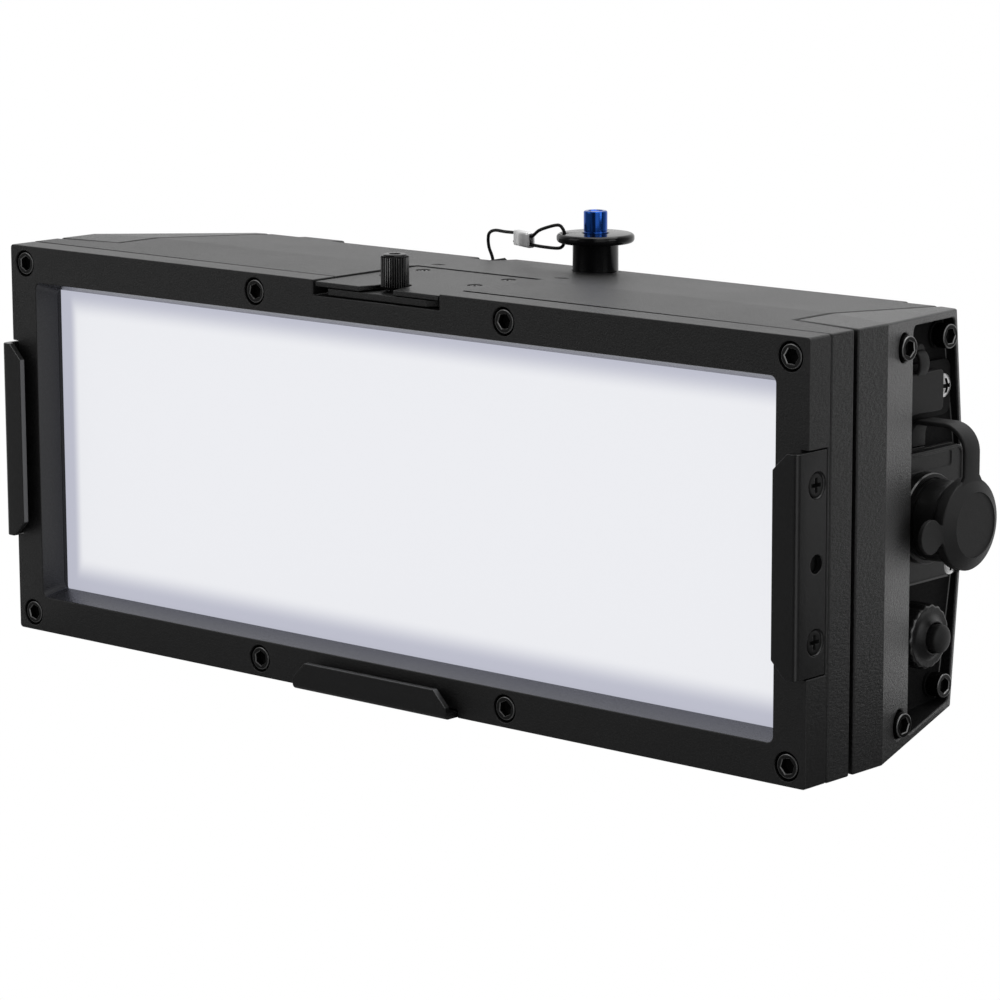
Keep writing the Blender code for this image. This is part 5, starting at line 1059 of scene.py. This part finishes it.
def build_lanyard():
    points = smooth_route(LANYARD_ROUTE, 8)
    wire = add_item("lanyard_wire", wire_mesh("lanyard_wire", points, LANYARD_DIAMETER / 2))
    ferrule = build_ferrule()
    keep(wire, WIRE_BLACK, None, "wire_black", "lanyard")
    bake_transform(wire)

    start = LANYARD_ROUTE[0]
    wall = -0.025 - SEAM
    radius, height, crown = 0.0032, 0.0022, 0.0012
    head = [(radius, wall), (radius, wall - height)]
    for turn in (math.radians(degrees) for degrees in (15, 30, 45, 60)):
        head.append((radius * math.cos(turn), wall - height - crown * math.sin(turn)))
    rise = LANYARD_DIAMETER / 2 + SEAM + radius
    anchor = turned("lanyard_anchor_screw", head, "x", (0, start[1], start[2] + rise), 48)
    keep(anchor, BRIGHT_STEEL, "panel", "bright_steel", "lanyard_anchor")


def build_ferrule():
    """Crimped sleeve: a flat box tube with soft edges round both strands."""
    entry, leave = (Vector(LANYARD_ROUTE[index]) for index in FERRULE_SPAN)
    middle = (entry + leave) / 2
    run = math.atan2(leave.y - entry.y, leave.x - entry.x)
    half, edge = FERRULE_LENGTH / 2, 0.0002
    corner = 0.0007
    bore = rounded(0.00056, FERRULE_STRAND + 0.00056, 0.00055, 8)
    body = rounded(FERRULE_HALF_THICK, FERRULE_HALF_HEIGHT, corner, 8)
    face = rounded(FERRULE_HALF_THICK - edge, FERRULE_HALF_HEIGHT - edge, corner - edge, 8)
    sections = [(bore, half), (bore, -half), (face, -half), (body, edge - half), (body, half - edge),
                (face, half)]
    item = loft("lanyard_crimp", sections, "x", cyclic=True,
                location=(middle.x, middle.y, middle.z - FERRULE_STRAND), rotation=(0, 0, run), sharp=50)
    return keep(item, CRIMP_STEEL, "pin", "bright_steel", "lanyard_ferrule")


# Connectors in the right bay

BAY_CENTRE = (0, BAY_AXIS_Y, 0)
GASKET_THICK = 0.0016
FLANGE_THICK = 0.002
INLET_FACE = PART_BACK + GASKET_THICK + SEAM + FLANGE_THICK
INLET_END = 0.1478
INLET_HALF_W = 0.0175
INLET_HALF_H = 0.0187
INLET_REARWARD = 0.00075
INLET_SCREW = (0.0146, 0.0154)


def inlet_outline(inset, corner=0.003):
    """Outline of the inlet's plates, which reach a little further to the rear."""
    return rounded(INLET_HALF_W + INLET_REARWARD - inset, INLET_HALF_H - inset, corner, 8,
                   (BAY_AXIS_Y + INLET_REARWARD, 0))


def build_power():
    """Inlet in the right bay: gasket, flange with a raised border, coupling ring, plug body, rubber cap."""
    gasket_front = PART_BACK + GASKET_THICK
    lug_half, lug_rise = 0.0035, 0.0006
    lug = block("lug", (PART_BACK, BAY_AXIS_Y - lug_half, INLET_HALF_H - PAST),
                (gasket_front, BAY_AXIS_Y + lug_half, INLET_HALF_H + lug_rise))
    gasket = prism("inlet_gasket_rubber", inlet_outline(0), PART_BACK, gasket_front, "x")
    carve(gasket, [drill(0.0107, PART_BACK - PAST, gasket_front + PAST, "x", BAY_CENTRE, FINE)], [lug],
          edge=MOULD_EDGE, segments=2)
    keep(gasket, RUBBER, "panel", "black_rubber", "inlet_gasket")
    build_inlet_flange(gasket_front + SEAM)

    ring = turned("inlet_coupling_ring", [(0.0111, INLET_FACE - 0.0002), (0.0125, INLET_FACE - 0.0002),
                                          (0.0127, INLET_FACE), (0.0127, 0.1385), (0.0124, 0.1389),
                                          (0.0115, 0.1390), (0.0111, 0.1386)], "x", BAY_CENTRE, 96)
    keep(ring, SCREW_BLACK, "panel", "screw_black")
    # Painted highlight on the coupling ring's front rim
    paint(ring, SOFT_HIGHLIGHT, lambda face: face.center.x > 0.1386
          and math.hypot(face.center.y, face.center.z) > 0.0122)
    for number, sign in enumerate((1, -1)):
        spot = (INLET_FACE - 0.0009, BAY_AXIS_Y + sign * INLET_SCREW[0], -sign * INLET_SCREW[1])
        cross_screw(f"inlet_screw_{number + 1}", 0.0029, spot, (0, math.pi / 2, 0), BRIGHT_STEEL,
                    "bright_steel", dome=0.0003)

    face, thick, radius, plug = INLET_END + 2 * SEAM, 0.0051, 0.0128, 0.009
    cap_face, slope, drop, rim = 0.0091, 0.0019, 0.0003, 0.0006
    profile = [(plug - 0.0008, -0.0045), (plug, -0.0037), (plug, 0), (radius - rim, 0)]
    profile += [(r, rim - t) for r, t in reversed(soft_edge(radius, rim, rim, 1))][1:]
    profile += [(radius, thick - slope - 0.0002), (radius - 0.0002, thick - slope + 0.0001),
                (cap_face + 0.0002, thick - 0.0001), (cap_face, thick), (cap_face - 0.00015, thick - drop),
                (0.0002, thick - drop)]
    cap = turned("power_cap_rubber", profile, "x", (face, BAY_AXIS_Y + 0.0003, 0), 96, 20)
    keep(cap, RUBBER, "inlet_cap", "black_rubber", "power_cap")
    build_cap_ear(face, radius)
    build_strap(face + thick / 2 + 0.0004, radius - 0.0008)


def build_inlet_flange(back):
    """Flange with a raised border and a shallow bare field, and the barrel that holds the plug."""
    flange = prism("inlet_flange", inlet_outline(SEAM), back, INLET_FACE, "x")
    barrel = turned("barrel", [(0.0104, PART_BACK), (0.0104, back + 0.0005), (0.0108, back + 0.0005),
                               (0.0108, 0.1400), (0.0112, 0.1404), (0.0114, 0.1410), (0.0112, 0.1450),
                               (0.0108, INLET_END - 0.0010), (0.0110, INLET_END - 0.0007),
                               (0.0110, INLET_END)], "x", BAY_CENTRE)
    lip, front = 0.0008, INLET_FACE + PAST
    field = rounded(0.0135, 0.0021, 0.0009, 6, (BAY_AXIS_Y, 0.0150))
    cutters = [drill(0.0096, 0.1375, INLET_END + PAST, "x", BAY_CENTRE, FINE),
               prism("lip", inlet_outline(SEAM + lip, 0.003 - lip), INLET_FACE - 0.0003, front, "x"),
               prism("field", field, INLET_FACE - 0.0006, front, "x")]
    for sign in (1, -1):
        cutters.append(drill(0.0036, INLET_FACE - 0.0012, front, "x",
                             (0, BAY_AXIS_Y + sign * INLET_SCREW[0], -sign * INLET_SCREW[1])))
    carve(flange, cutters, [barrel], edge=0.00018, segments=2)
    keep(flange, PLASTIC, "panel", "black_plastic", "power_inlet")

    def is_border(face):
        point = item_point(flange, face)
        outside = max(abs(point.y - BAY_AXIS_Y - INLET_REARWARD) - INLET_HALF_W - INLET_REARWARD,
                      abs(point.z) - INLET_HALF_H)
        return INLET_FACE - 0.00015 < point.x < INLET_FACE + 0.0001 and -lip < outside < -0.0005

    # Painted highlight along the flange's raised border
    paint(flange, SOFT_HIGHLIGHT, is_border)


def build_cap_ear(face, radius):
    """Pull tab beside the cap: a round end on a waisted neck."""
    ear, reach, drop, neck = 0.0048, 0.0048, 0.001, 0.0024
    middle = BAY_AXIS_Y - radius - reach
    steps = 12
    outline = []
    for step in range(steps + 1):
        turn = math.radians(42 + 276 * step / steps)
        outline.append((middle + ear * math.cos(turn), -drop + ear * math.sin(turn)))
    root = middle + reach + 0.0016
    for up in (-1, 1):
        arc = [(middle + ear * 0.99 + 0.0002, -drop + up * neck),
               (root - 0.0012, -drop + up * (neck + 0.0002)), (root, -drop + up * (neck + 0.0016))]
        outline += arc if up < 0 else list(reversed(arc))
    tab = prism("power_cap_ear", outline, 0.0019, 0.0033, "x", (face, 0, 0))
    carve(tab, edge=0.0003, segments=2)
    keep(tab, RUBBER, "inlet_cap", "black_rubber")


def build_strap(outside, cap_radius):
    """Flat rubber strap: a wide bend from the cap, a level run over the inlet, a tight bend to the lug."""
    inside, lug_z, top = PART_BACK + 0.0008, 0.0196, 0.0268
    bend, heel, heel_rise = 0.0072, 0.003, 0.0045
    steps = 18
    path = [(outside, cap_radius - 0.0006, 1, 0), (outside, cap_radius + 0.0014, 1, 0),
            (outside, top - bend - 0.0006, 1, 0)]
    for middle_x, reach, rise, quarter in ((outside - bend, bend, bend, 0),
                                           (inside + heel, heel, heel_rise, 90)):
        for step in range(steps + 1):
            turn = math.radians(quarter + 90 * step / steps)
            normal = Vector((rise * math.cos(turn), reach * math.sin(turn))).normalized()
            path.append((middle_x + reach * math.cos(turn), top - rise + rise * math.sin(turn), *normal))
    path.append((inside, lug_z, -1, 0))
    half, width, flare, rearward = 0.0007, 0.0034, 0.0014, 0.0007
    rings = []
    for number, (x, z, nx, nz) in enumerate(path):
        wide = width + (flare if number == 0 else 0.0)
        rings.append([(x + nx * v, BAY_AXIS_Y + rearward + u, z + nz * v)
                      for u, v in rounded(wide, half, 0.0005, 3)])
    strap = add_item("power_cap_strap", skin("power_cap_strap", rings))
    strap.data.set_sharp_from_angle(angle=math.radians(40))
    keep(strap, RUBBER, None, "black_rubber", "cap_strap")
    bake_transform(strap)


def build_data_port():
    """Small port: screwed plate and a rubber lid on a curved strap that hinges on a stud."""
    back = PART_BACK
    front = back + 0.0016
    half_w, half_h, data_z = 0.0152, 0.0078, 0.0348
    plate = rounded(half_w, half_h, 0.003, 8, (BAY_AXIS_Y, data_z))
    item = prism("data_port_plate", plate, back, front, "x")
    carve(item, edge=MOULD_EDGE, segments=2)
    keep(item, PLATE_BLACK, "panel", "black_plastic", "data_port")
    for number, sign in enumerate((-1, 1)):
        spot = (front + 0.0002, BAY_AXIS_Y + sign * 0.0119, data_z + 0.0003)
        cross_screw(f"data_port_screw_{number + 1}", 0.0033, spot, (0, math.pi / 2, 0), BRIGHT_STEEL,
                    "bright_steel", dome=0.0010)
    hinge_z, thick, half_lid = 0.0462, 0.0026, 0.0057
    hinge_x = front + SEAM + thick / 2
    drop = data_z - hinge_z
    lid = rounded(0.0080, half_lid, 0.0015, 6, (0, drop))
    cover = prism("data_port_lid", lid, -thick / 2, thick / 2, "x", (hinge_x, BAY_AXIS_Y, hinge_z))
    carve(cover, edge=0.0004)
    keep(cover, RUBBER, "port_lid", "black_rubber", "data_cover")
    start = drop + half_lid - 0.0006
    bulge, wide, half = 0.0019, 0.0021, 0.0006
    steps = 20
    path = []
    for step in range(steps + 1):
        turn = math.pi * step / steps
        path.append((bulge * math.sin(turn), (start / 2) * (1 + math.cos(turn))))
    rings = []
    for number, (x, z) in enumerate(path):
        ahead = Vector(path[min(number + 1, steps)]) - Vector(path[max(number - 1, 0)])
        normal = Vector((-ahead.y, ahead.x)).normalized()
        rings.append([(x + normal.x * v, u, z + normal.y * v) for u, v in rounded(wide, half, 0.0004, 3)])
    band = add_item("data_lid_strap", skin("data_lid_strap", rings), (hinge_x, BAY_AXIS_Y - 0.0025, hinge_z))
    band.data.set_sharp_from_angle(angle=math.radians(45))
    keep(band, RUBBER, "port_lid", "black_rubber")
    stud_end = hinge_x - 0.0009
    stud = turned("data_lid_stud", [(0.002, back), (0.002, stud_end - 0.0003), (0.0017, stud_end)], "x",
                  (0, BAY_AXIS_Y, hinge_z), SMALL)
    keep(stud, RUBBER, "panel", "black_rubber", "cover_stud")


def build_reset():
    """Sealed push button: scalloped ring nut with a dished face and a mushroom-shaped rubber head."""
    back = PART_BACK
    reset_z, radius, dome_radius = -0.0332, 0.0092, 0.0040
    lobes, each = 18, 8
    count = lobes * each

    def ring(r, depth):
        return waved(r, depth, lobes, each)

    bore = circle(0.0042, count)
    sections = [(bore, back), (ring(radius, 0.0004), back), (ring(radius, 0.0004), back + 0.0058),
                (ring(radius - 0.0002, 0.0004), back + 0.0064),
                (ring(radius - 0.0006, 0.0002), back + 0.0068)]
    sections += circles([(radius - 0.0012, back + 0.0069), (0.0070, back + 0.0066), (0.0058, back + 0.0070),
                         (0.0050, back + 0.0082), (0.0047, back + 0.0086), (0.0044, back + 0.0086),
                         (0.0042, back + 0.0083)], count)
    nut = loft("reset_ring_nut", sections, "x", cyclic=True, location=(0, BAY_AXIS_Y, reset_z), sharp=50)
    keep(nut, PLASTIC, "panel", "black_plastic", "reset_ring")

    def is_rim(face):
        reach = math.hypot(face.center.y, face.center.z)
        return reach > radius - 0.0009 and 0.0064 < face.center.x - back < 0.0069

    # Painted highlight on the ring nut's rim
    paint(nut, SOFT_HIGHLIGHT, is_rim)
    foot, neck, widest, rise = back + 0.0015, 0.0034, back + 0.0106, 0.0015
    profile = [(neck, foot), (neck, back + 0.0066), (dome_radius - 0.0003, back + 0.0069),
               (dome_radius - 0.0001, back + 0.0073), (dome_radius, widest - 0.0004)]
    for step in range(10):
        turn = math.radians(9.7 * step)
        profile.append((dome_radius * math.cos(turn), widest + rise * math.sin(turn)))
    dome = turned("reset_dome", profile, "x", (0, BAY_AXIS_Y, reset_z), 48, 50)
    keep(dome, RUBBER, "reset", "black_rubber", "reset_button")


# Sockets in the left bay

def build_left_sockets():
    back, front = PART_BACK, PART_BACK + 0.002
    end = 0.1405
    pins, pin_circle = 5, 0.0046
    for name, z in (("in", 0.0215), ("out", -0.0215)):
        centre = (BAY_AXIS_Y, z)
        plate = rounded(0.013, 0.0155, 0.0025, 8, centre)
        item = prism(f"data_socket_shell_{name}", plate, -back, -front, "x")
        barrel = turned("barrel", [(0.0118, -back - 0.0004), (0.0118, -front - 0.002),
                                   (0.0112, -front - 0.0022), (0.0112, -end + 0.001),
                                   (0.0118, -end + 0.0008), (0.0118, -end)], "x", (0, *centre))
        bore = drill(0.0095, -back - 0.0008, -end - PAST, "x", (0, *centre), FINE)
        carve(item, [bore], [barrel], edge=0.00022, segments=2)
        keep(item, PLASTIC, "panel", "black_plastic", "data_socket_" + name)
        for number in range(pins):
            turn = math.radians(90 + 360 / pins * number)
            pin = turned(f"data_socket_{name}_pin_{number + 1}",
                         [(0.0008, -back - 0.0006), (0.0008, -back - 0.0050), (0.0004, -back - 0.0056)], "x",
                         (0, BAY_AXIS_Y + pin_circle * math.cos(turn), z + pin_circle * math.sin(turn)), 16)
            keep(pin, BRIGHT_STEEL, "panel", "bright_steel")
        for number, (y, up) in enumerate(((-1, 1), (1, -1))):
            cross_screw(f"socket_{name}_screw_{number + 1}", 0.0024,
                        (-front - 0.0001, BAY_AXIS_Y + y * 0.0100, z + up * 0.0127), (0, -math.pi / 2, 0),
                        SCREW_BLACK, "screw_black", dome=0.0007)
        thick = 0.003
        hinge_x = end + SEAM + thick / 2
        hinge_z = z + 0.0118 + 0.0022
        radius = 0.0118 + SEAM
        profile = [(radius - 0.0002, thick / 2), (radius, thick / 2 - 0.0002)]
        profile += [(r, -t) for r, t in soft_edge(radius, thick / 2, 0.0009, 1)]
        profile += [(0.0088, -thick / 2), (0.0085, -thick / 2 + 0.0003), (0.0002, -thick / 2 + 0.0003)]
        cap = turned(f"socket_lid_{name}", profile, "x", (-hinge_x, BAY_AXIS_Y, z), 80, 24)
        keep(cap, RUBBER, "cap_" + name, "black_rubber", "socket_cap_" + name)
        stem = block(f"socket_lid_hinge_{name}", (-hinge_x - 0.001, BAY_AXIS_Y - 0.003, z + 0.0110),
                     (-hinge_x + 0.001, BAY_AXIS_Y + 0.003, hinge_z + 0.001))
        carve(stem, edge=0.0003)
        keep(stem, RUBBER, "cap_" + name, "black_rubber")


# Rear: receiver and controls

def build_receiver():
    half, top = 0.025, 0.0527
    low, front, back = 0.018, 0.0461, 0.092
    outline = rounded(half, (top - low) / 2, 0.0008, 3, (0, (top + low) / 2))
    item = prism("receiver_block", outline, front, back, "y")
    middle = (0, 0.037)
    pocket, mouth = rounded(0.020, 0.012, 0.001, 4, middle), rounded(0.0216, 0.0136, 0.001, 4, middle)
    cutters = [loft("pocket", [(pocket, 0.062), (pocket, back - 0.0016), (mouth, back + 0.0001)], "y"),
               drill(PIN_SHANK_RADIUS + SEAM, -PIN_SHANK_LENGTH - 0.0008, 0.003, "z", PIN_SPOT, 48)]
    carve(item, cutters, edge=0.0003, segments=2)
    keep(item, HOUSING_PAINT, "panel", "housing_paint", "mount_receiver")


def build_controls():
    left, right, low, top = -0.0995, -0.0375, -0.012, 0.0527
    front, back = 0.062, CONTROL_BACK
    middle = (left + right) / 2
    outline = rounded((right - left) / 2, (top - low) / 2, 0.001, 4, (middle, (top + low) / 2))
    module = prism("control_housing", outline, front, back, "y")
    screen_z, key_z, knob_z = 0.036, 0.0175, 0.0015
    recess = rounded(0.0213, 0.0103, 0.001, 4, (middle, screen_z))
    cutters = [prism("recess", recess, back - 0.0012, back + PAST, "y")]
    spots = [middle + (number - 1.5) * 0.0135 for number in range(4)]
    well = rounded(0.0045, 0.0029, 0.001, 4)
    for x in spots:
        cutters.append(prism("well", well, -0.0013, PAST, "y", (x, back, key_z)))
    knobs = [middle - 0.0165, middle + 0.0165]
    for x in knobs:
        cutters.append(drill(0.0033, -0.005, PAST, "y", (x, back, knob_z)))
    carve(module, cutters, edge=0.0003, segments=2)
    keep(module, PLASTIC, "panel", "black_plastic", "control_module")
    glass = rounded(0.021, 0.010, 0.001, 4, (middle, screen_z))
    screen = prism("display_glass", glass, back - 0.0009, back + SEAM / 2, "y")
    carve(screen, edge=0.00012, segments=2)
    keep(screen, DISPLAY_BLACK, "panel", "display_black", "display_window")
    body = rounded(0.0042, 0.0026, 0.001, 5)
    for number, x in enumerate(spots):
        key = prism(f"menu_key_{number + 1}", body, 0, 0.0018, "y", (x, back, key_z))
        carve(key, edge=0.0005)
        keep(key, RUBBER, f"button_{number + 1}", "black_rubber", f"menu_button_{number + 1}")
    flutes, each = 18, 8
    grip = waved(0.007, 0.0005, flutes, each)
    skirt = [(0.003, -0.0045), (0.003, 0.0006), (0.0068, 0.0006), (0.007, 0.0008), (0.007, 0.0018)]
    crown = [(0.0064, 0.0078), (0.0061, 0.0082), (0.0056, 0.0085), (0.0045, 0.0085), (0.0043, 0.0083),
             (0.0003, 0.0083)]
    sections = circles(skirt, flutes * each) + [(grip, 0.0024), (grip, 0.0073)]
    sections += circles(crown, flutes * each)
    for number, x in enumerate(knobs):
        knob = loft(f"encoder_dial_{number + 1}", sections, "y", location=(x, back, knob_z))
        keep(knob, PLASTIC, f"encoder_{number + 1}", "black_plastic", f"encoder_knob_{number + 1}")


def dress_plain_nodes():
    """Solids whose own shape is right: they only get their finish."""
    for name, material in (("diffuser", DIFFUSER), ("diffuser_gasket", RUBBER), ("end_seal_left", RUBBER),
                           ("end_seal_right", RUBBER), ("heat_sink", SINK_BLACK),
                           ("mixing_chamber", CHAMBER_WHITE), ("led_board", CHAMBER_WHITE)):
        item = NODES[name]
        item.data.materials.clear()
        item.data.materials.append(material)


# Studio

# Brightness that polished pieces mirror, by compass bearing in degrees from +X over +Y
MIRROR_CARDS = ((-180, 0.8), (-165, 0.5), (-152, 0.26), (-100, 0.2), (-88, 0.18), (-80, 0.06),
                (-56, 0.05), (-46, 0.85), (-24, 0.85), (-8, 0.2), (4, 0.06), (22, 0.1), (40, 0.33),
                (60, 0.46), (75, 0.88), (110, 0.88), (122, 0.82), (160, 0.82), (180, 0.8))

# Box round the panel's foot, from which the floor's bearings are taken
FOOTPRINT = ((-0.153, -0.025, 0.0), (0.153, 0.078, 0.0))


def build_cards_group():
    group, feed, out = new_group("mirror_cards", [("Point", "NodeSocketVector", None)],
                                 [("Level", "NodeSocketFloat")])
    x, y, _ = axes_of(group, feed.outputs["Point"])
    bearing = maths(group, "ARCTAN2", y, x)
    ramp = group.nodes.new("ShaderNodeValToRGB")
    stops = ramp.color_ramp.elements
    for number, (turn, level) in enumerate(MIRROR_CARDS):
        place_at = (turn + 180) / 360
        stop = stops[number] if number < 2 else stops.new(place_at)
        stop.position = place_at
        stop.color = (level, level, level, 1.0)
    group.links.new(spread(group, bearing, -math.pi, math.pi), ramp.inputs["Fac"])
    bright = group.nodes.new("ShaderNodeRGBToBW")
    group.links.new(ramp.outputs["Color"], bright.inputs["Color"])
    group.links.new(bright.outputs["Val"], out.inputs["Level"])
    return group


CARDS = build_cards_group()


def mirrored_level(tree, point):
    node = tree.nodes.new("ShaderNodeGroup")
    node.node_tree = CARDS
    tree.links.new(point, node.inputs["Point"])
    return node.outputs["Level"]


def ray_kinds(tree):
    """Whether a ray comes from the camera, and whether it comes by gloss or through glass."""
    light = tree.nodes.new("ShaderNodeLightPath")
    mirror = maths(tree, "ADD", light.outputs["Is Glossy Ray"], light.outputs["Is Transmission Ray"], True)
    return light.outputs["Is Camera Ray"], mirror


def build_floor():
    mesh = bpy.data.meshes.new("floor")
    reach = 6.0
    corners = [(u, v, 0) for u, v in box_outline(-reach, reach, -reach, reach)]
    mesh.from_pydata(corners, [], [(0, 1, 2, 3)])
    floor = add_object("floor", mesh)
    material, tree, shader = new_material("pale_floor")
    shader.inputs["Base Color"].default_value = (0.8, 0.8, 0.8, 1.0)
    shader.inputs["Roughness"].default_value = 0.9
    shader.inputs["Specular IOR Level"].default_value = 0.0
    camera, mirror = ray_kinds(tree)
    outside = object_point(tree)
    held = outside
    for operation, corner in zip(("MAXIMUM", "MINIMUM"), FOOTPRINT):
        held = vector_maths(tree, operation, held, corner)
    mirrored = mirrored_level(tree, vector_maths(tree, "SUBTRACT", outside, held))
    glow = tree.nodes.new("ShaderNodeEmission")
    tree.links.new(between(tree, camera, mirrored, 1.0), glow.inputs["Strength"])
    mix = tree.nodes.new("ShaderNodeMixShader")
    for number, output in enumerate((maths(tree, "ADD", camera, mirror, True), shader.outputs[0],
                                     glow.outputs[0])):
        tree.links.new(output, mix.inputs[number])
    tree.links.new(mix.outputs[0], tree.nodes["Material Output"].inputs["Surface"])
    mesh.materials.append(material)


def build_world():
    world = bpy.data.worlds.new("studio")
    bpy.context.scene.world = world
    world.use_nodes = True
    tree = world.node_tree
    back = tree.nodes["Background"]
    camera, mirror = ray_kinds(tree)
    ambient = 0.42
    cards = mirrored_level(tree, tree.nodes.new("ShaderNodeTexCoord").outputs["Generated"])
    level = between(tree, camera, between(tree, mirror, ambient, cards), 1.0)
    tree.links.new(level, back.inputs["Strength"])
    back.inputs["Color"].default_value = (1, 1, 1, 1)


def add_lamp(name, place_at, aim, size, power):
    lamp = bpy.data.lights.new(name, "AREA")
    lamp.shape = "RECTANGLE"
    lamp.size, lamp.size_y = size
    lamp.energy = power
    item = add_object(name, lamp)
    item.location = place_at
    item.rotation_euler = (Vector(aim) - Vector(place_at)).to_track_quat("-Z", "Y").to_euler()


def build_studio():
    build_floor()
    build_world()
    add_lamp("overhead_softbox", (0.1, 0.35, 1.5), (0, 0.03, 0.06), (1.6, 1.2), 14.0)
    add_lamp("front_softbox", (-0.9, -1.4, 0.9), (0, 0, 0.06), (1.0, 1.2), 4.0)
    add_lamp("right_softbox", (1.7, 0.1, 0.7), (0.1, 0.03, 0.06), (0.7, 1.2), 4.5)


CAMERA_SPOT = (0.763108, -0.811011, 0.209267)
CAMERA_RIGHT = (0.749833, 0.661617, -0.003583)
CAMERA_UP = (-0.120306, 0.141667, 0.982577)
CAMERA_AHEAD = (-0.650597, 0.736338, -0.185823)
CAMERA_LENS = 143.96
CAMERA_SENSOR = 36.0


def build_camera():
    camera = bpy.data.cameras.new("photo_camera")
    camera.lens = CAMERA_LENS
    camera.sensor_width = CAMERA_SENSOR
    camera.clip_start = 0.01
    item = add_object("photo_camera", camera)
    right, up, ahead = Vector(CAMERA_RIGHT), Vector(CAMERA_UP), Vector(CAMERA_AHEAD)
    turn = Matrix((right, up, -ahead)).transposed().to_4x4()
    item.matrix_world = Matrix.Translation(world_from_face(CAMERA_SPOT)) @ turn
    bpy.context.scene.camera = item


build_camera()
build_lanyard()
build_front_frame()
for clip_side in CLIPS:
    build_clip(clip_side)
build_housing()
build_end_cap("right", 1)
build_end_cap("left", -1)
build_latch()
build_pin()
build_power()
build_data_port()
build_reset()
build_left_sockets()
build_receiver()
build_controls()
dress_plain_nodes()
build_studio()
bpy.context.scene.view_settings.view_transform = "Standard"
